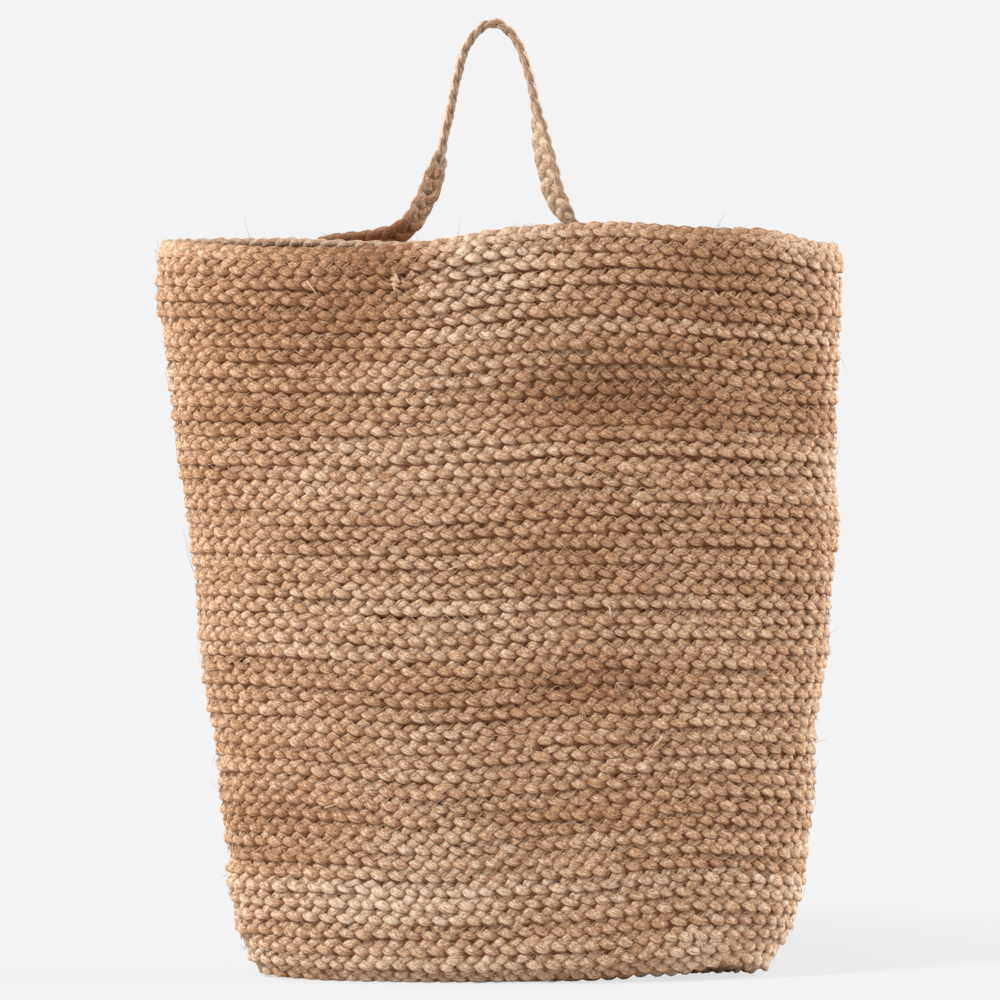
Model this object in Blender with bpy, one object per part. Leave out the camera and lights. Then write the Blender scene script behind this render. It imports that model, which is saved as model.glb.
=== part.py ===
"""Soft storage basket, coiled from flat plaited jute cord and hung by one plaited loop.

Metres, +Z up. The basket stands on its flat oval base, with the middle of that base at the
origin. Its broad front faces -Y and its handle rises from the back rim at +Y.
"""

import math

import bmesh
import bpy
import numpy as np
from mathutils import Vector

# The basket as it stands: outer sizes at the rim and where the wall meets the base corner
RIM_WIDTH = 0.430
RIM_DEPTH = 0.144
FOOT_WIDTH = 0.339
FOOT_DEPTH = 0.120
BASKET_HEIGHT = 0.456
FOOT_LEAN = 0.0104

# How many turns of plait each stretch of the coil has, and how the oval is shaped
WALL_COIL_TURNS = (8, 8, 8, 8, 8, 7)
RIM_TURNS = 1
CORNER_TURNS = 3
CORE_TURNS = 1
OVAL_POWER = 2.3
FLARE_POWER = 0.65
POINTS_ROUND = 40
TURNS_PER_INNER_POINT = 2

# The plait and the clearance between neighbouring pieces
BRAID_THICKNESS = 0.007
GROOVE_DEPTH = 0.0018
SEAM_GAP = 0.0003

# How the soft rim rises and falls from its mean height
FRONT_SAG = 0.0045
FRONT_SWELL = 0.016
BACK_LIFT = 0.0075
SIDE_LIFT = 0.002
SWELL_PLACE_SHARE = 0.34
SWELL_SPREAD_SHARE = 0.46
RIM_WAVE_POWER = 2.5

# How the soft sides wander from a straight flare: up, spread up, move towards +X
SIDE_WAVE = 0.0035
WHOLE_WAVE_SHARES = ((0.58, 0.13, 0.87), (0.30, 0.15, 0.82))
LEFT_WAVE_SHARES = (
    (0.92, 0.030, -1.00),
    (0.54, 0.080, 0.24),
    (0.32, 0.050, 0.55),
    (0.17, 0.035, 0.60),
)
RIGHT_WAVE_SHARES = (
    (0.61, 0.050, 0.91),
    (0.45, 0.050, 0.57),
    (0.34, 0.050, -0.95),
)

# Hollows and swells of the front and the back: across, up, spread across, spread up, depth
DENT_DEPTH = 0.008
FRONT_DENT_SHARES = (
    (0.10, 0.88, 0.36, 0.085, -0.55),
    (0.34, 0.775, 0.30, 0.050, 0.80),
    (0.80, 0.80, 0.07, 0.120, 0.55),
    (-0.47, 0.90, 0.13, 0.060, 0.45),
    (-0.78, 0.87, 0.08, 0.080, 0.35),
    (0.25, 0.40, 0.22, 0.050, 0.40),
    (-0.30, 0.30, 0.30, 0.120, -0.40),
)
BACK_DENT_SHARES = (
    (-0.45, 0.55, 0.30, 0.120, 0.60),
    (0.40, 0.35, 0.35, 0.140, 0.50),
)

# The knot where one length of plait is joined to the next
KNOT_WIDTH = 0.0050
KNOT_HEIGHT = 0.0115
KNOT_THICKNESS = 0.0034
KNOT_ACROSS_SHARE = -0.312
KNOT_UP_SHARE = 0.952
KNOT_TILT_DEGREES = 4

# The handle: a flat plait that twists so that its crown stands edge on
HANDLE_BRAID_WIDTH = 0.014
HANDLE_BRAID_THICKNESS = 0.006
HANDLE_RISE = 0.1303
LEFT_FOOT_X = -0.0615
RIGHT_FOOT_X = 0.048
HANDLE_FOOT_LIFT = 0.0088
PIVOT_CLEARANCE = 0.0018
HANDLE_PATH_SHARES = (
    (0.000, 0.000),
    (0.056, 0.044),
    (0.090, 0.083),
    (0.120, 0.123),
    (0.140, 0.162),
    (0.167, 0.240),
    (0.196, 0.319),
    (0.219, 0.397),
    (0.267, 0.554),
    (0.304, 0.711),
    (0.357, 0.868),
    (0.416, 0.946),
    (0.468, 0.985),
    (0.521, 1.000),
    (0.579, 0.985),
    (0.629, 0.946),
    (0.685, 0.868),
    (0.743, 0.711),
    (0.778, 0.554),
    (0.807, 0.397),
    (0.851, 0.240),
    (0.878, 0.162),
    (0.921, 0.083),
    (1.000, 0.000),
)
HANDLE_STEPS_PER_POINT = 3
HANDLE_SIDES = 12
LEFT_TWIST_SHARES = (0.115, 0.205)
RIGHT_TWIST_SHARES = (0.155, 0.310)

# The handle's two ends, laid against the back of the rim and sewn down
LEFT_END_LENGTH = 0.0585
RIGHT_END_LENGTH = 0.050
END_DROP = 0.0085
END_DROP_REACH_SHARE = 0.175
END_SLOPE_DROP = 0.0065
END_STEPS = 12
END_STEP_POWER = 1.4
STITCH_THREAD = 0.0012
STITCH_COUNT = 5
STITCH_REACH_SHARE = 0.62
STITCH_SPAN_SHARES = (0.18, 0.86)

# Colours: natural jute, a darker lot of jute, and linen sewing thread
JUTE = (0.42, 0.24, 0.135, 1.0)
DARK_JUTE = (0.36, 0.20, 0.11, 1.0)
THREAD = (0.56, 0.38, 0.25, 1.0)

HALF_BRAID = BRAID_THICKNESS / 2
HALF_HANDLE = HANDLE_BRAID_THICKNESS / 2
WALL_TURNS = sum(WALL_COIL_TURNS) + RIM_TURNS
# The corner's turns are as high as the wall's, so its radius follows from the height:
# height = half a braid + corner radius + wall turns, and the arc holds the corner turns.
CORNER_TURN_SHARE = CORNER_TURNS / (math.pi / 2)
TURN_HEIGHT = (BASKET_HEIGHT - HALF_BRAID) / (WALL_TURNS + CORNER_TURN_SHARE)
CORNER_RADIUS = CORNER_TURN_SHARE * TURN_HEIGHT
WALL_FOOT = HALF_BRAID + CORNER_RADIUS
# The flat of the base holds whole turns, with room left in the middle for the core.
BASE_REACH = FOOT_DEPTH / 2 - HALF_BRAID - CORNER_RADIUS
BASE_TURNS = int(BASE_REACH / TURN_HEIGHT) - CORE_TURNS
PIVOT_BACK = HALF_BRAID + HALF_HANDLE + PIVOT_CLEARANCE


def clear_scene():
    for thing in list(bpy.data.objects):
        bpy.data.objects.remove(thing, do_unlink=True)


def jute_material(name, colour, roughness):
    material = bpy.data.materials.new(name)
    material.use_nodes = True
    surface = material.node_tree.nodes["Principled BSDF"]
    surface.inputs["Base Color"].default_value = colour
    surface.inputs["Roughness"].default_value = roughness
    surface.inputs["Metallic"].default_value = 0.0
    return material


def new_object(name, shape, material, origin=Vector()):
    """Makes an object of a bmesh, with its faces outward and its origin where it turns."""
    bmesh.ops.recalc_face_normals(shape, faces=shape.faces)
    bmesh.ops.translate(shape, verts=shape.verts, vec=-Vector(origin))
    mesh = bpy.data.meshes.new(name)
    shape.to_mesh(mesh)
    shape.free()
    mesh.materials.append(material)
    mesh.shade_smooth()
    thing = bpy.data.objects.new(name, mesh)
    thing.location = origin
    bpy.context.collection.objects.link(thing)
    return thing


def loft(rings, joined_round):
    """A closed body through rings of points: joined last to first, or capped at both ends."""
    shape = bmesh.new()
    loops = [[shape.verts.new(point) for point in ring] for ring in rings]
    following = loops[1:] + loops[:1] if joined_round else loops[1:]
    for near, far in zip(loops, following):
        for this in range(len(near)):
            after = (this + 1) % len(near)
            shape.faces.new((near[this], near[after], far[after], far[this]))
    if not joined_round:
        shape.faces.new(reversed(loops[0]))
        shape.faces.new(loops[-1])
    return shape


def even_angles():
    """Angles that space the points of the rim's oval evenly, from the middle of the back."""
    fine = np.linspace(0, 2 * math.pi, 4001) + math.pi / 2
    x = RIM_WIDTH * np.sign(np.cos(fine)) * np.abs(np.cos(fine)) ** (2 / OVAL_POWER)
    y = RIM_DEPTH * np.sign(np.sin(fine)) * np.abs(np.sin(fine)) ** (2 / OVAL_POWER)
    run = np.concatenate([[0], np.cumsum(np.hypot(np.diff(x), np.diff(y)))])
    marks = np.arange(POINTS_ROUND) / POINTS_ROUND * run[-1]
    return np.interp(marks, run, fine)


ANGLES = even_angles()
ACROSS = np.sign(np.cos(ANGLES)) * np.abs(np.cos(ANGLES)) ** (2 / OVAL_POWER)
BEHIND = np.sign(np.sin(ANGLES)) * np.abs(np.sin(ANGLES)) ** (2 / OVAL_POWER)


def bell(place, centre, spread):
    return np.exp(-(((place - centre) / spread) ** 2))


def rim_rise(across, behind, up):
    """How far the soft rim lifts: a sag and a swell in front, a lift behind and at the sides."""
    front = np.clip(-behind, 0, 1)
    back = np.clip(behind, 0, 1)
    swell = FRONT_SWELL * bell(across, SWELL_PLACE_SHARE, SWELL_SPREAD_SHARE)
    rise = front * (swell - FRONT_SAG) + back * BACK_LIFT + across**2 * SIDE_LIFT
    return rise * up**RIM_WAVE_POWER


def dent(across, behind, up):
    """How far a point of the wall moves along Y in the hollows of the front and the back."""
    moved = np.zeros_like(across)
    for side, shares in ((-1, FRONT_DENT_SHARES), (1, BACK_DENT_SHARES)):
        facing = np.clip(side * behind, 0, 1)
        for centre, height, wide, tall, depth in shares:
            hollow = bell(across, centre, wide) * bell(up, height, tall)
            moved = moved - side * facing * DENT_DEPTH * depth * hollow
    return moved


def side_wave(across, up):
    """How far a point of the wall moves along X where the soft sides wander."""
    moved = np.zeros_like(across)
    for side, shares in ((0, WHOLE_WAVE_SHARES), (-1, LEFT_WAVE_SHARES), (1, RIGHT_WAVE_SHARES)):
        facing = np.clip(side * across, 0, 1) ** 2 if side else 1.0
        for height, tall, move in shares:
            moved = moved + facing * SIDE_WAVE * move * bell(up, height, tall)
    return moved


def half_sizes(height):
    """Half the oval's width and depth at the middle of the wall: a flare, quickest below."""
    share = max(0.0, (height - WALL_FOOT) / (BASKET_HEIGHT - WALL_FOOT)) ** FLARE_POWER
    width = FOOT_WIDTH + (RIM_WIDTH - FOOT_WIDTH) * share
    depth = FOOT_DEPTH + (RIM_DEPTH - FOOT_DEPTH) * share
    return width / 2 - HALF_BRAID, depth / 2 - HALF_BRAID


def oval_ring(height, outward, across=ACROSS, behind=BEHIND):
    """The basket's oval at a height, a distance outward of the middle of its wall."""
    half_width, half_depth = half_sizes(height)
    up = np.clip(height / BASKET_HEIGHT, 0, 1)
    x = FOOT_LEAN * (1 - up) + across * (half_width + outward) + side_wave(across, up)
    y = behind * (half_depth + outward) + dent(across, behind, up)
    z = height + rim_rise(across, behind, up)
    return np.column_stack([x, y, z + np.zeros_like(x)])


def wall_height(turn):
    return WALL_FOOT + turn * TURN_HEIGHT


def wall_coil(name, first, last, material):
    """Turns of the wall from one count to another: a ridge for each turn, a groove between."""
    groove = HALF_BRAID - GROOVE_DEPTH
    low = wall_height(first) + SEAM_GAP / 2
    high = wall_height(last) - SEAM_GAP / 2
    rings = [oval_ring(low, groove)]
    for turn in range(first, last):
        rings.append(oval_ring(wall_height(turn + 0.5), HALF_BRAID))
        if turn + 1 < last:
            rings.append(oval_ring(wall_height(turn + 1), groove))
    rings.append(oval_ring(high, groove))
    rings.append(oval_ring(high, -groove))
    for turn in range(last - 1, first, -TURNS_PER_INNER_POINT):
        rings.append(oval_ring(wall_height(turn + 0.5), -HALF_BRAID))
    rings.append(oval_ring(wall_height(first + 0.5), -HALF_BRAID))
    rings.append(oval_ring(low, -groove))
    return new_object(name, loft(rings, joined_round=True), material)


def corner_ring(turn, outward):
    """A ring of the rolled corner: turn 0 lies on the floor side, the last one at the wall."""
    angle = turn / CORNER_TURNS * math.pi / 2
    radius = CORNER_RADIUS + outward
    ring = oval_ring(0.0, radius * math.sin(angle) - CORNER_RADIUS)
    ring[:, 2] += WALL_FOOT - radius * math.cos(angle)
    return ring


def corner_coil(name, material):
    """The turns that roll up from the base into the wall."""
    groove = HALF_BRAID - GROOVE_DEPTH
    trim = SEAM_GAP / 2 / TURN_HEIGHT
    rings = [corner_ring(trim, HALF_BRAID)]
    for turn in range(CORNER_TURNS):
        rings.append(corner_ring(turn + 0.5, HALF_BRAID))
        if turn + 1 < CORNER_TURNS:
            rings.append(corner_ring(turn + 1, groove))
    rings.append(corner_ring(CORNER_TURNS - trim, groove))
    rings.append(corner_ring(CORNER_TURNS - trim, -groove))
    for turn in range(CORNER_TURNS - 1, -1, -1):
        rings.append(corner_ring(turn + 0.5, -HALF_BRAID))
    rings.append(corner_ring(trim, -groove))
    return new_object(name, loft(rings, joined_round=True), material)


def base_ring(inset, height):
    """An oval of the flat base, an inset in from the foot of the wall."""
    ring = oval_ring(0.0, -inset)
    ring[:, 2] += height
    return ring


def base_coil(name, material):
    """The flat turns of the base, level beneath and ridged above."""
    outer = CORNER_RADIUS + SEAM_GAP / 2
    inner = CORNER_RADIUS + BASE_TURNS * TURN_HEIGHT - SEAM_GAP / 2
    valley = BRAID_THICKNESS - GROOVE_DEPTH
    rings = [base_ring(inner, 0.0), base_ring(outer, 0.0), base_ring(outer, valley)]
    for turn in range(BASE_TURNS):
        ridge = CORNER_RADIUS + (turn + 0.5) * TURN_HEIGHT
        rings.append(base_ring(ridge, BRAID_THICKNESS))
        if turn + 1 < BASE_TURNS:
            rings.append(base_ring(ridge + TURN_HEIGHT / 2, valley))
    rings.append(base_ring(inner, valley))
    return new_object(name, loft(rings, joined_round=True), material)


def base_core(name, material):
    """The coil's start: the plait doubled back on itself along the middle of the base."""
    edge = CORNER_RADIUS + BASE_TURNS * TURN_HEIGHT + SEAM_GAP / 2
    valley = BRAID_THICKNESS - GROOVE_DEPTH
    middle = FOOT_DEPTH / 2 - HALF_BRAID
    ridge = (edge + middle) / 2
    crease = middle - GROOVE_DEPTH
    rings = [
        base_ring(edge, 0.0),
        base_ring(edge, valley),
        base_ring(ridge, BRAID_THICKNESS),
        base_ring(crease, valley),
    ]
    return new_object(name, loft(rings, joined_round=False), material)


def smooth_route(points, steps):
    """A smooth curve through points, with steps between two neighbours and even tangents."""
    points = np.asarray(points, float)
    route = []
    padded = np.vstack([2 * points[0] - points[1], points, 2 * points[-1] - points[-2]])
    for place in range(len(points) - 1):
        a, b, c, d = padded[place : place + 4]
        for share in np.arange(steps) / steps:
            route.append(
                0.5
                * (
                    2 * b
                    + (c - a) * share
                    + (2 * a - 5 * b + 4 * c - d) * share**2
                    + (3 * b - a - 3 * c + d) * share**3
                )
            )
    route.append(points[-1])
    return np.array(route)


def swept_plait(route, twists, square_ends):
    """The handle plait's outline along a route: wide in the XZ plane, then turned by a twist.

    The ends that are named are cut square to X, so that they meet their neighbour at the pivot.
    """
    rings = []
    square_rings = {end % len(route) for end in square_ends}
    sides = HANDLE_SIDES
    width = HANDLE_BRAID_WIDTH
    thickness = HANDLE_BRAID_THICKNESS
    tangents = np.gradient(route, axis=0)
    for place, (point, tangent, twist) in enumerate(zip(route, tangents, twists)):
        along = Vector(tangent).normalized()
        flat_way = Vector((0.0, 1.0, 0.0))
        wide_way = along.cross(flat_way).normalized()
        flat_way = wide_way.cross(along).normalized()
        across = math.cos(twist) * wide_way + math.sin(twist) * flat_way
        through = math.cos(twist) * flat_way - math.sin(twist) * wide_way
        ring = []
        for side in range(sides):
            angle = 2 * math.pi * side / sides
            wide = math.cos(angle) * width / 2
            deep = math.sin(angle) * thickness / 2
            offset = wide * across + deep * through
            if place in square_rings:
                offset -= along * (offset.x / along.x)
            ring.append(Vector(point) + offset)
        rings.append(ring)
    return loft(rings, joined_round=False)


def back_of_wall(x, height):
    """The Y of the middle of the back wall at an x, near the rim."""
    half_width, half_depth = half_sizes(height)
    across = np.clip(abs(x) / half_width, 0, 1)
    return half_depth * (1 - across**OVAL_POWER) ** (1 / OVAL_POWER)


def pivot_line():
    """The Y and Z of the line through the handle's two feet, about which the loop swings."""
    rim_top = BASKET_HEIGHT + BACK_LIFT
    nearest = max(back_of_wall(x, BASKET_HEIGHT) for x in (LEFT_FOOT_X, RIGHT_FOOT_X))
    return nearest + PIVOT_BACK, rim_top + HANDLE_FOOT_LIFT


def handle_loop(name, material):
    """The free loop, face on at its feet and turned a quarter so its crown is edge on."""
    pivot_y, pivot_z = pivot_line()
    first = LEFT_FOOT_X + SEAM_GAP / 2
    span = RIGHT_FOOT_X - LEFT_FOOT_X - SEAM_GAP
    points = [
        (first + span * across, pivot_y, pivot_z + HANDLE_RISE * up)
        for across, up in HANDLE_PATH_SHARES
    ]
    route = smooth_route(points, HANDLE_STEPS_PER_POINT)
    run = np.concatenate([[0], np.cumsum(np.linalg.norm(np.diff(route, axis=0), axis=1))])
    left_start, left_end = LEFT_TWIST_SHARES
    right_start, right_end = RIGHT_TWIST_SHARES
    left_turned = (run / run[-1] - left_start) / (left_end - left_start)
    right_turned = (1 - run / run[-1] - right_start) / (right_end - right_start)
    turned = np.clip(np.minimum(left_turned, right_turned), 0, 1)
    twists = math.pi / 2 * turned**2 * (3 - 2 * turned)
    shape = swept_plait(route, twists, square_ends=(0, -1))
    middle = (LEFT_FOOT_X + RIGHT_FOOT_X) / 2
    return new_object(name, shape, material, origin=Vector((middle, pivot_y, pivot_z)))


def end_route(foot_x, length, side):
    """The middle of a sewn end: from the pivot out along the back of the rim, sinking."""
    pivot_y, pivot_z = pivot_line()
    shares = np.linspace(0, 1, END_STEPS + 1) ** END_STEP_POWER
    x = foot_x + side * (SEAM_GAP / 2 + length * shares)
    against = HALF_BRAID + HALF_HANDLE + SEAM_GAP
    beside = np.array([back_of_wall(place, BASKET_HEIGHT) for place in x]) + against
    near_pivot = (1 - shares) ** 2
    y = near_pivot * pivot_y + (1 - near_pivot) * beside
    fall = END_DROP * (1 - np.exp(-shares / END_DROP_REACH_SHARE))
    z = pivot_z - fall - END_SLOPE_DROP * shares
    return np.column_stack([x, y, z])


def handle_end(name, foot_x, length, side, material):
    """One end of the handle's plait, on edge against the back of the rim."""
    route = end_route(foot_x, length, side)
    shape = swept_plait(route, np.zeros(len(route)), square_ends=(0,))
    return new_object(name, shape, material)


def end_stitches(name, foot_x, length, side, material):
    """The zigzag of thread on the back of a sewn end, a thread's clearance off the plait."""
    route = end_route(foot_x, length, side)
    reach = HANDLE_BRAID_WIDTH / 2 * STITCH_REACH_SHARE
    behind = HALF_HANDLE + SEAM_GAP + STITCH_THREAD / 2
    low, high = STITCH_SPAN_SHARES
    places = np.linspace(low, high, 2 * STITCH_COUNT + 1) * (len(route) - 1)
    curve = bpy.data.curves.new(name, "CURVE")
    curve.dimensions = "3D"
    curve.bevel_depth = STITCH_THREAD / 2
    curve.bevel_resolution = 1
    curve.use_fill_caps = True
    spline = curve.splines.new("POLY")
    spline.points.add(len(places) - 1)
    for count, place in enumerate(places):
        x, y, z = (np.interp(place, np.arange(len(route)), route[:, axis]) for axis in range(3))
        swing = reach if count % 2 else -reach
        spline.points[count].co = (x, y + behind, z + swing, 1.0)
    curve.materials.append(material)
    thing = bpy.data.objects.new(name, curve)
    bpy.context.collection.objects.link(thing)
    return thing


def join_knot(name, material):
    """A small tight knot on the front, where two lengths of plait were joined."""
    up = KNOT_UP_SHARE
    half_width, half_depth = half_sizes(up * BASKET_HEIGHT)
    behind = -((1 - abs(KNOT_ACROSS_SHARE) ** OVAL_POWER) ** (1 / OVAL_POWER))
    across = np.array([KNOT_ACROSS_SHARE])
    place = oval_ring(
        up * BASKET_HEIGHT,
        HALF_BRAID + SEAM_GAP + KNOT_THICKNESS / 2,
        across,
        np.array([behind]),
    )[0]
    shape = bmesh.new()
    bmesh.ops.create_uvsphere(shape, u_segments=12, v_segments=8, radius=0.5)
    size = Vector((KNOT_WIDTH, KNOT_THICKNESS, KNOT_HEIGHT))
    bmesh.ops.scale(shape, verts=shape.verts, vec=size)
    slope = half_depth / half_width * abs(KNOT_ACROSS_SHARE) ** (OVAL_POWER - 1)
    knot = new_object(name, shape, material)
    knot.rotation_euler = (0.0, math.radians(KNOT_TILT_DEGREES), -math.atan(slope))
    knot.location = place
    return knot


def build_basket():
    jute = jute_material("jute_plait", JUTE, 0.85)
    dark_jute = jute_material("jute_plait_dark", DARK_JUTE, 0.88)
    thread = jute_material("sewing_thread", THREAD, 0.7)
    base_core("base_core", jute)
    base_coil("base_coil", jute)
    corner_coil("base_edge_coil", jute)
    first = 0
    for number, turns in enumerate(WALL_COIL_TURNS, start=1):
        lot = jute if number % 2 else dark_jute
        wall_coil(f"wall_coil_{number}", first, first + turns, lot)
        first += turns
    wall_coil("rim_coil", first, first + RIM_TURNS, jute)
    join_knot("join_knot", jute)
    handle_loop("handle_loop", jute)
    for word, foot_x, length, side in (
        ("left", LEFT_FOOT_X, LEFT_END_LENGTH, -1),
        ("right", RIGHT_FOOT_X, RIGHT_END_LENGTH, 1),
    ):
        handle_end(f"handle_{word}_end", foot_x, length, side, jute)
        end_stitches(f"handle_{word}_stitches", foot_x, length, side, thread)


clear_scene()
build_basket()
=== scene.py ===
# %% [markdown]
# # A coiled jute basket
# The real basket is one long flat plait of jute, wound round and round from the middle of the
# base and sewn edge over edge. Nothing else holds it up, so its look is the plait's look:
# plump strands, dark seams, a fine zigzag thread. This lesson winds that plait strand by strand.
# The frame gives the solids the basket was planned with; they say where each piece belongs.

import math

import bpy
import numpy as np
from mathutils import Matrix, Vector


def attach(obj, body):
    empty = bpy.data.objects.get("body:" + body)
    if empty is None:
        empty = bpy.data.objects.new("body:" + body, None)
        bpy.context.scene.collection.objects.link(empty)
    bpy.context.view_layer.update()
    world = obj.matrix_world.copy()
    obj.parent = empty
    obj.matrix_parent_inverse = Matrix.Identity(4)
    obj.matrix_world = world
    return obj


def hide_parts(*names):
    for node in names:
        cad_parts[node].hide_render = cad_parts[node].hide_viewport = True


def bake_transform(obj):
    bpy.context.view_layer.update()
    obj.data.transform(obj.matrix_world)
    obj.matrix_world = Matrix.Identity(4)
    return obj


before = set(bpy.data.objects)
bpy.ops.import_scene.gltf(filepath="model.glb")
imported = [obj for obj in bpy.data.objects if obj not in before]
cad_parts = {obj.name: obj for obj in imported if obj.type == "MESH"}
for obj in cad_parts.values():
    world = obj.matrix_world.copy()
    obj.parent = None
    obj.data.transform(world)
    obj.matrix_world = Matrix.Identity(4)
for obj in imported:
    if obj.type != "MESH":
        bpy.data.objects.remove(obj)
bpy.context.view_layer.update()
MM = 0.001

# %% [markdown]
# ## The basket's form
# Everything sits on one surface: a flat oval base, a rounded corner and a flaring wall with a
# few soft hollows. A wound thing is easiest to describe by how far it has been wound, so the
# surface takes two numbers: the turn, counted up from the middle of the base, and the share of
# the way round. Every length here is the one that the solids were planned with.

# %% Sizes of the basket
RIM_WIDTH = 430 * MM
RIM_DEPTH = 144 * MM
FOOT_WIDTH = 339 * MM
FOOT_DEPTH = 120 * MM
BASKET_HEIGHT = 456 * MM
FOOT_LEAN = 10.4 * MM
WALL_THICKNESS = 7 * MM
OVAL_POWER = 2.3
FLARE_POWER = 0.65
WALL_COIL_TURNS = (8, 8, 8, 8, 8, 7)
RIM_TURNS = 1
CORNER_TURNS = 3
BASE_TURNS = 3

HALF_WALL = WALL_THICKNESS / 2
WALL_TURNS = sum(WALL_COIL_TURNS) + RIM_TURNS
WALL_START = BASE_TURNS + CORNER_TURNS
LAST_TURN = WALL_START + WALL_TURNS
CORNER_TURN_SHARE = CORNER_TURNS / (math.pi / 2)
TURN_HEIGHT = (BASKET_HEIGHT - HALF_WALL) / (WALL_TURNS + CORNER_TURN_SHARE)
CORNER_RADIUS = CORNER_TURN_SHARE * TURN_HEIGHT
WALL_FOOT = HALF_WALL + CORNER_RADIUS
# In the base the rounds lie a little farther apart, so that the first ones meet in the middle
BASE_SPREAD = 1.08
print(f"{LAST_TURN} turns, {TURN_HEIGHT / MM:.2f} mm each")

# %% Soft waves of the rim and the sides, and hollows of the wall
FRONT_SAG = 4.5 * MM
FRONT_SWELL = 16 * MM
BACK_LIFT = 7.5 * MM
SIDE_LIFT = 2 * MM
SWELL_PLACE_SHARE = 0.34
SWELL_SPREAD_SHARE = 0.46
RIM_WAVE_POWER = 2.5
SIDE_WAVE = 3.5 * MM
# Up, spread up, move towards +X: shares of the height and of SIDE_WAVE
WHOLE_WAVE_SHARES = ((0.58, 0.13, 0.87), (0.30, 0.15, 0.82))
LEFT_WAVE_SHARES = (
    (0.92, 0.030, -1.00),
    (0.54, 0.080, 0.24),
    (0.32, 0.050, 0.55),
    (0.17, 0.035, 0.60),
    (0.13, 0.030, -0.60),
    (0.065, 0.025, -0.40),
    (0.03, 0.030, 0.25),
)
RIGHT_WAVE_SHARES = (
    (0.61, 0.050, 0.91),
    (0.45, 0.050, 0.57),
    (0.34, 0.050, -0.95),
    (0.13, 0.030, 0.55),
    (0.055, 0.018, 0.60),
    (0.03, 0.035, -1.60),
)
DENT_DEPTH = 8 * MM
# Across, up, spread across, spread up, depth: shares of the half width, the height, DENT_DEPTH
FRONT_DENT_SHARES = (
    (0.10, 0.88, 0.36, 0.085, -0.55),
    (0.34, 0.775, 0.30, 0.050, 0.80),
    (0.80, 0.80, 0.07, 0.120, 0.55),
    (-0.47, 0.90, 0.13, 0.060, 0.45),
    (-0.78, 0.87, 0.08, 0.080, 0.35),
    (0.25, 0.40, 0.22, 0.050, 0.40),
    (-0.30, 0.30, 0.30, 0.120, -0.40),
)
BACK_DENT_SHARES = (
    (-0.45, 0.55, 0.30, 0.120, 0.60),
    (0.40, 0.35, 0.35, 0.140, 0.50),
)
# Hand winding is never level: the rows rise and fall a few millimetres.
# Across, up, spread across, spread up, lift: shares of the half width and the height, then mm
FRONT_ROW_LIFTS = (
    (-0.28, 0.30, 0.30, 0.20, -5.5),
    (-0.35, 0.02, 0.55, 0.05, -2.6),
    (0.64, 0.12, 0.30, 0.15, 7.5),
    (0.92, 0.03, 0.20, 0.07, 9.0),
    (0.97, 0.03, 0.09, 0.06, 5.0),
    (-0.72, 0.02, 0.20, 0.05, -2.5),
    (0.80, 0.30, 0.25, 0.12, 2.5),
    (0.95, 0.62, 0.35, 0.12, 4.0),
    (0.00, 1.00, 0.20, 0.16, 3.2),
    (0.42, 1.00, 0.26, 0.14, 1.4),
    (0.78, 1.00, 0.16, 0.12, 9.0),
)
BACK_ROW_LIFTS = ((-0.69, 1.00, 0.20, 0.12, 2.6),)
# Side, up, spread up, lift: the rim at the left end, the base at the right end
END_LIFTS = ((-1, 1.00, 0.12, 1.8), (1, 0.00, 0.06, 1.5))


def bell(place, centre, spread):
    """A smooth bump: e to the minus square of the distance from the centre in spreads."""
    return np.exp(-(((place - centre) / spread) ** 2))


def ease(share):
    """Clips a share to 0 and 1 and rounds it off at both ends: 3s^2 - 2s^3."""
    share = np.clip(share, 0, 1)
    return share * share * (3 - 2 * share)


PRESSED = 1.2 * MM


def on_floor(height):
    """Presses what is near the floor flat, but never quite to 0: s e^((z - s) / s) below s."""
    return np.where(height < PRESSED, PRESSED * np.exp(height / PRESSED - 1), height)


def rim_rise(across, behind, up):
    """Lift of the soft rim: the front sags and swells, the back and the sides stand higher."""
    front = np.clip(-behind, 0, 1)
    back = np.clip(behind, 0, 1)
    swell = FRONT_SWELL * bell(across, SWELL_PLACE_SHARE, SWELL_SPREAD_SHARE)
    rise = front * (swell - FRONT_SAG) + back * BACK_LIFT + across**2 * SIDE_LIFT
    return rise * up**RIM_WAVE_POWER


def wall_bells(across, behind, up, side, rows):
    """A sum of bells on the front (side -1) or the back (side 1), fading to the oval's ends."""
    total = 0.0
    for centre, height, wide, tall, amount in rows:
        total = total + amount * bell(across, centre, wide) * bell(up, height, tall)
    return total * np.clip(side * behind, 0, 1)


def dent(across, behind, up):
    """Move along Y in the hollows: inward both from the front and from the back."""
    front = wall_bells(across, behind, up, -1, FRONT_DENT_SHARES)
    return DENT_DEPTH * (front - wall_bells(across, behind, up, 1, BACK_DENT_SHARES))


def row_lift(across, behind, up):
    """Rise of the rows: bells on the front and the back, and one at each end of the oval."""
    lifted = wall_bells(across, behind, up, -1, FRONT_ROW_LIFTS)
    lifted = lifted + wall_bells(across, behind, up, 1, BACK_ROW_LIFTS)
    for side, height, tall, lift in END_LIFTS:
        lifted = lifted + ease((side * across - 0.6) / 0.4) * lift * bell(up, height, tall)
    return lifted * MM


def side_wave(across, up):
    """Move along X where the sides wander: bells over the height, some for one side only."""
    moved = np.zeros_like(across)
    for side, shares in ((0, WHOLE_WAVE_SHARES), (-1, LEFT_WAVE_SHARES), (1, RIGHT_WAVE_SHARES)):
        facing = np.clip(side * across, 0, 1) ** 2 if side else 1.0
        for height, tall, move in shares:
            moved = moved + facing * SIDE_WAVE * move * bell(up, height, tall)
    return moved


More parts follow.
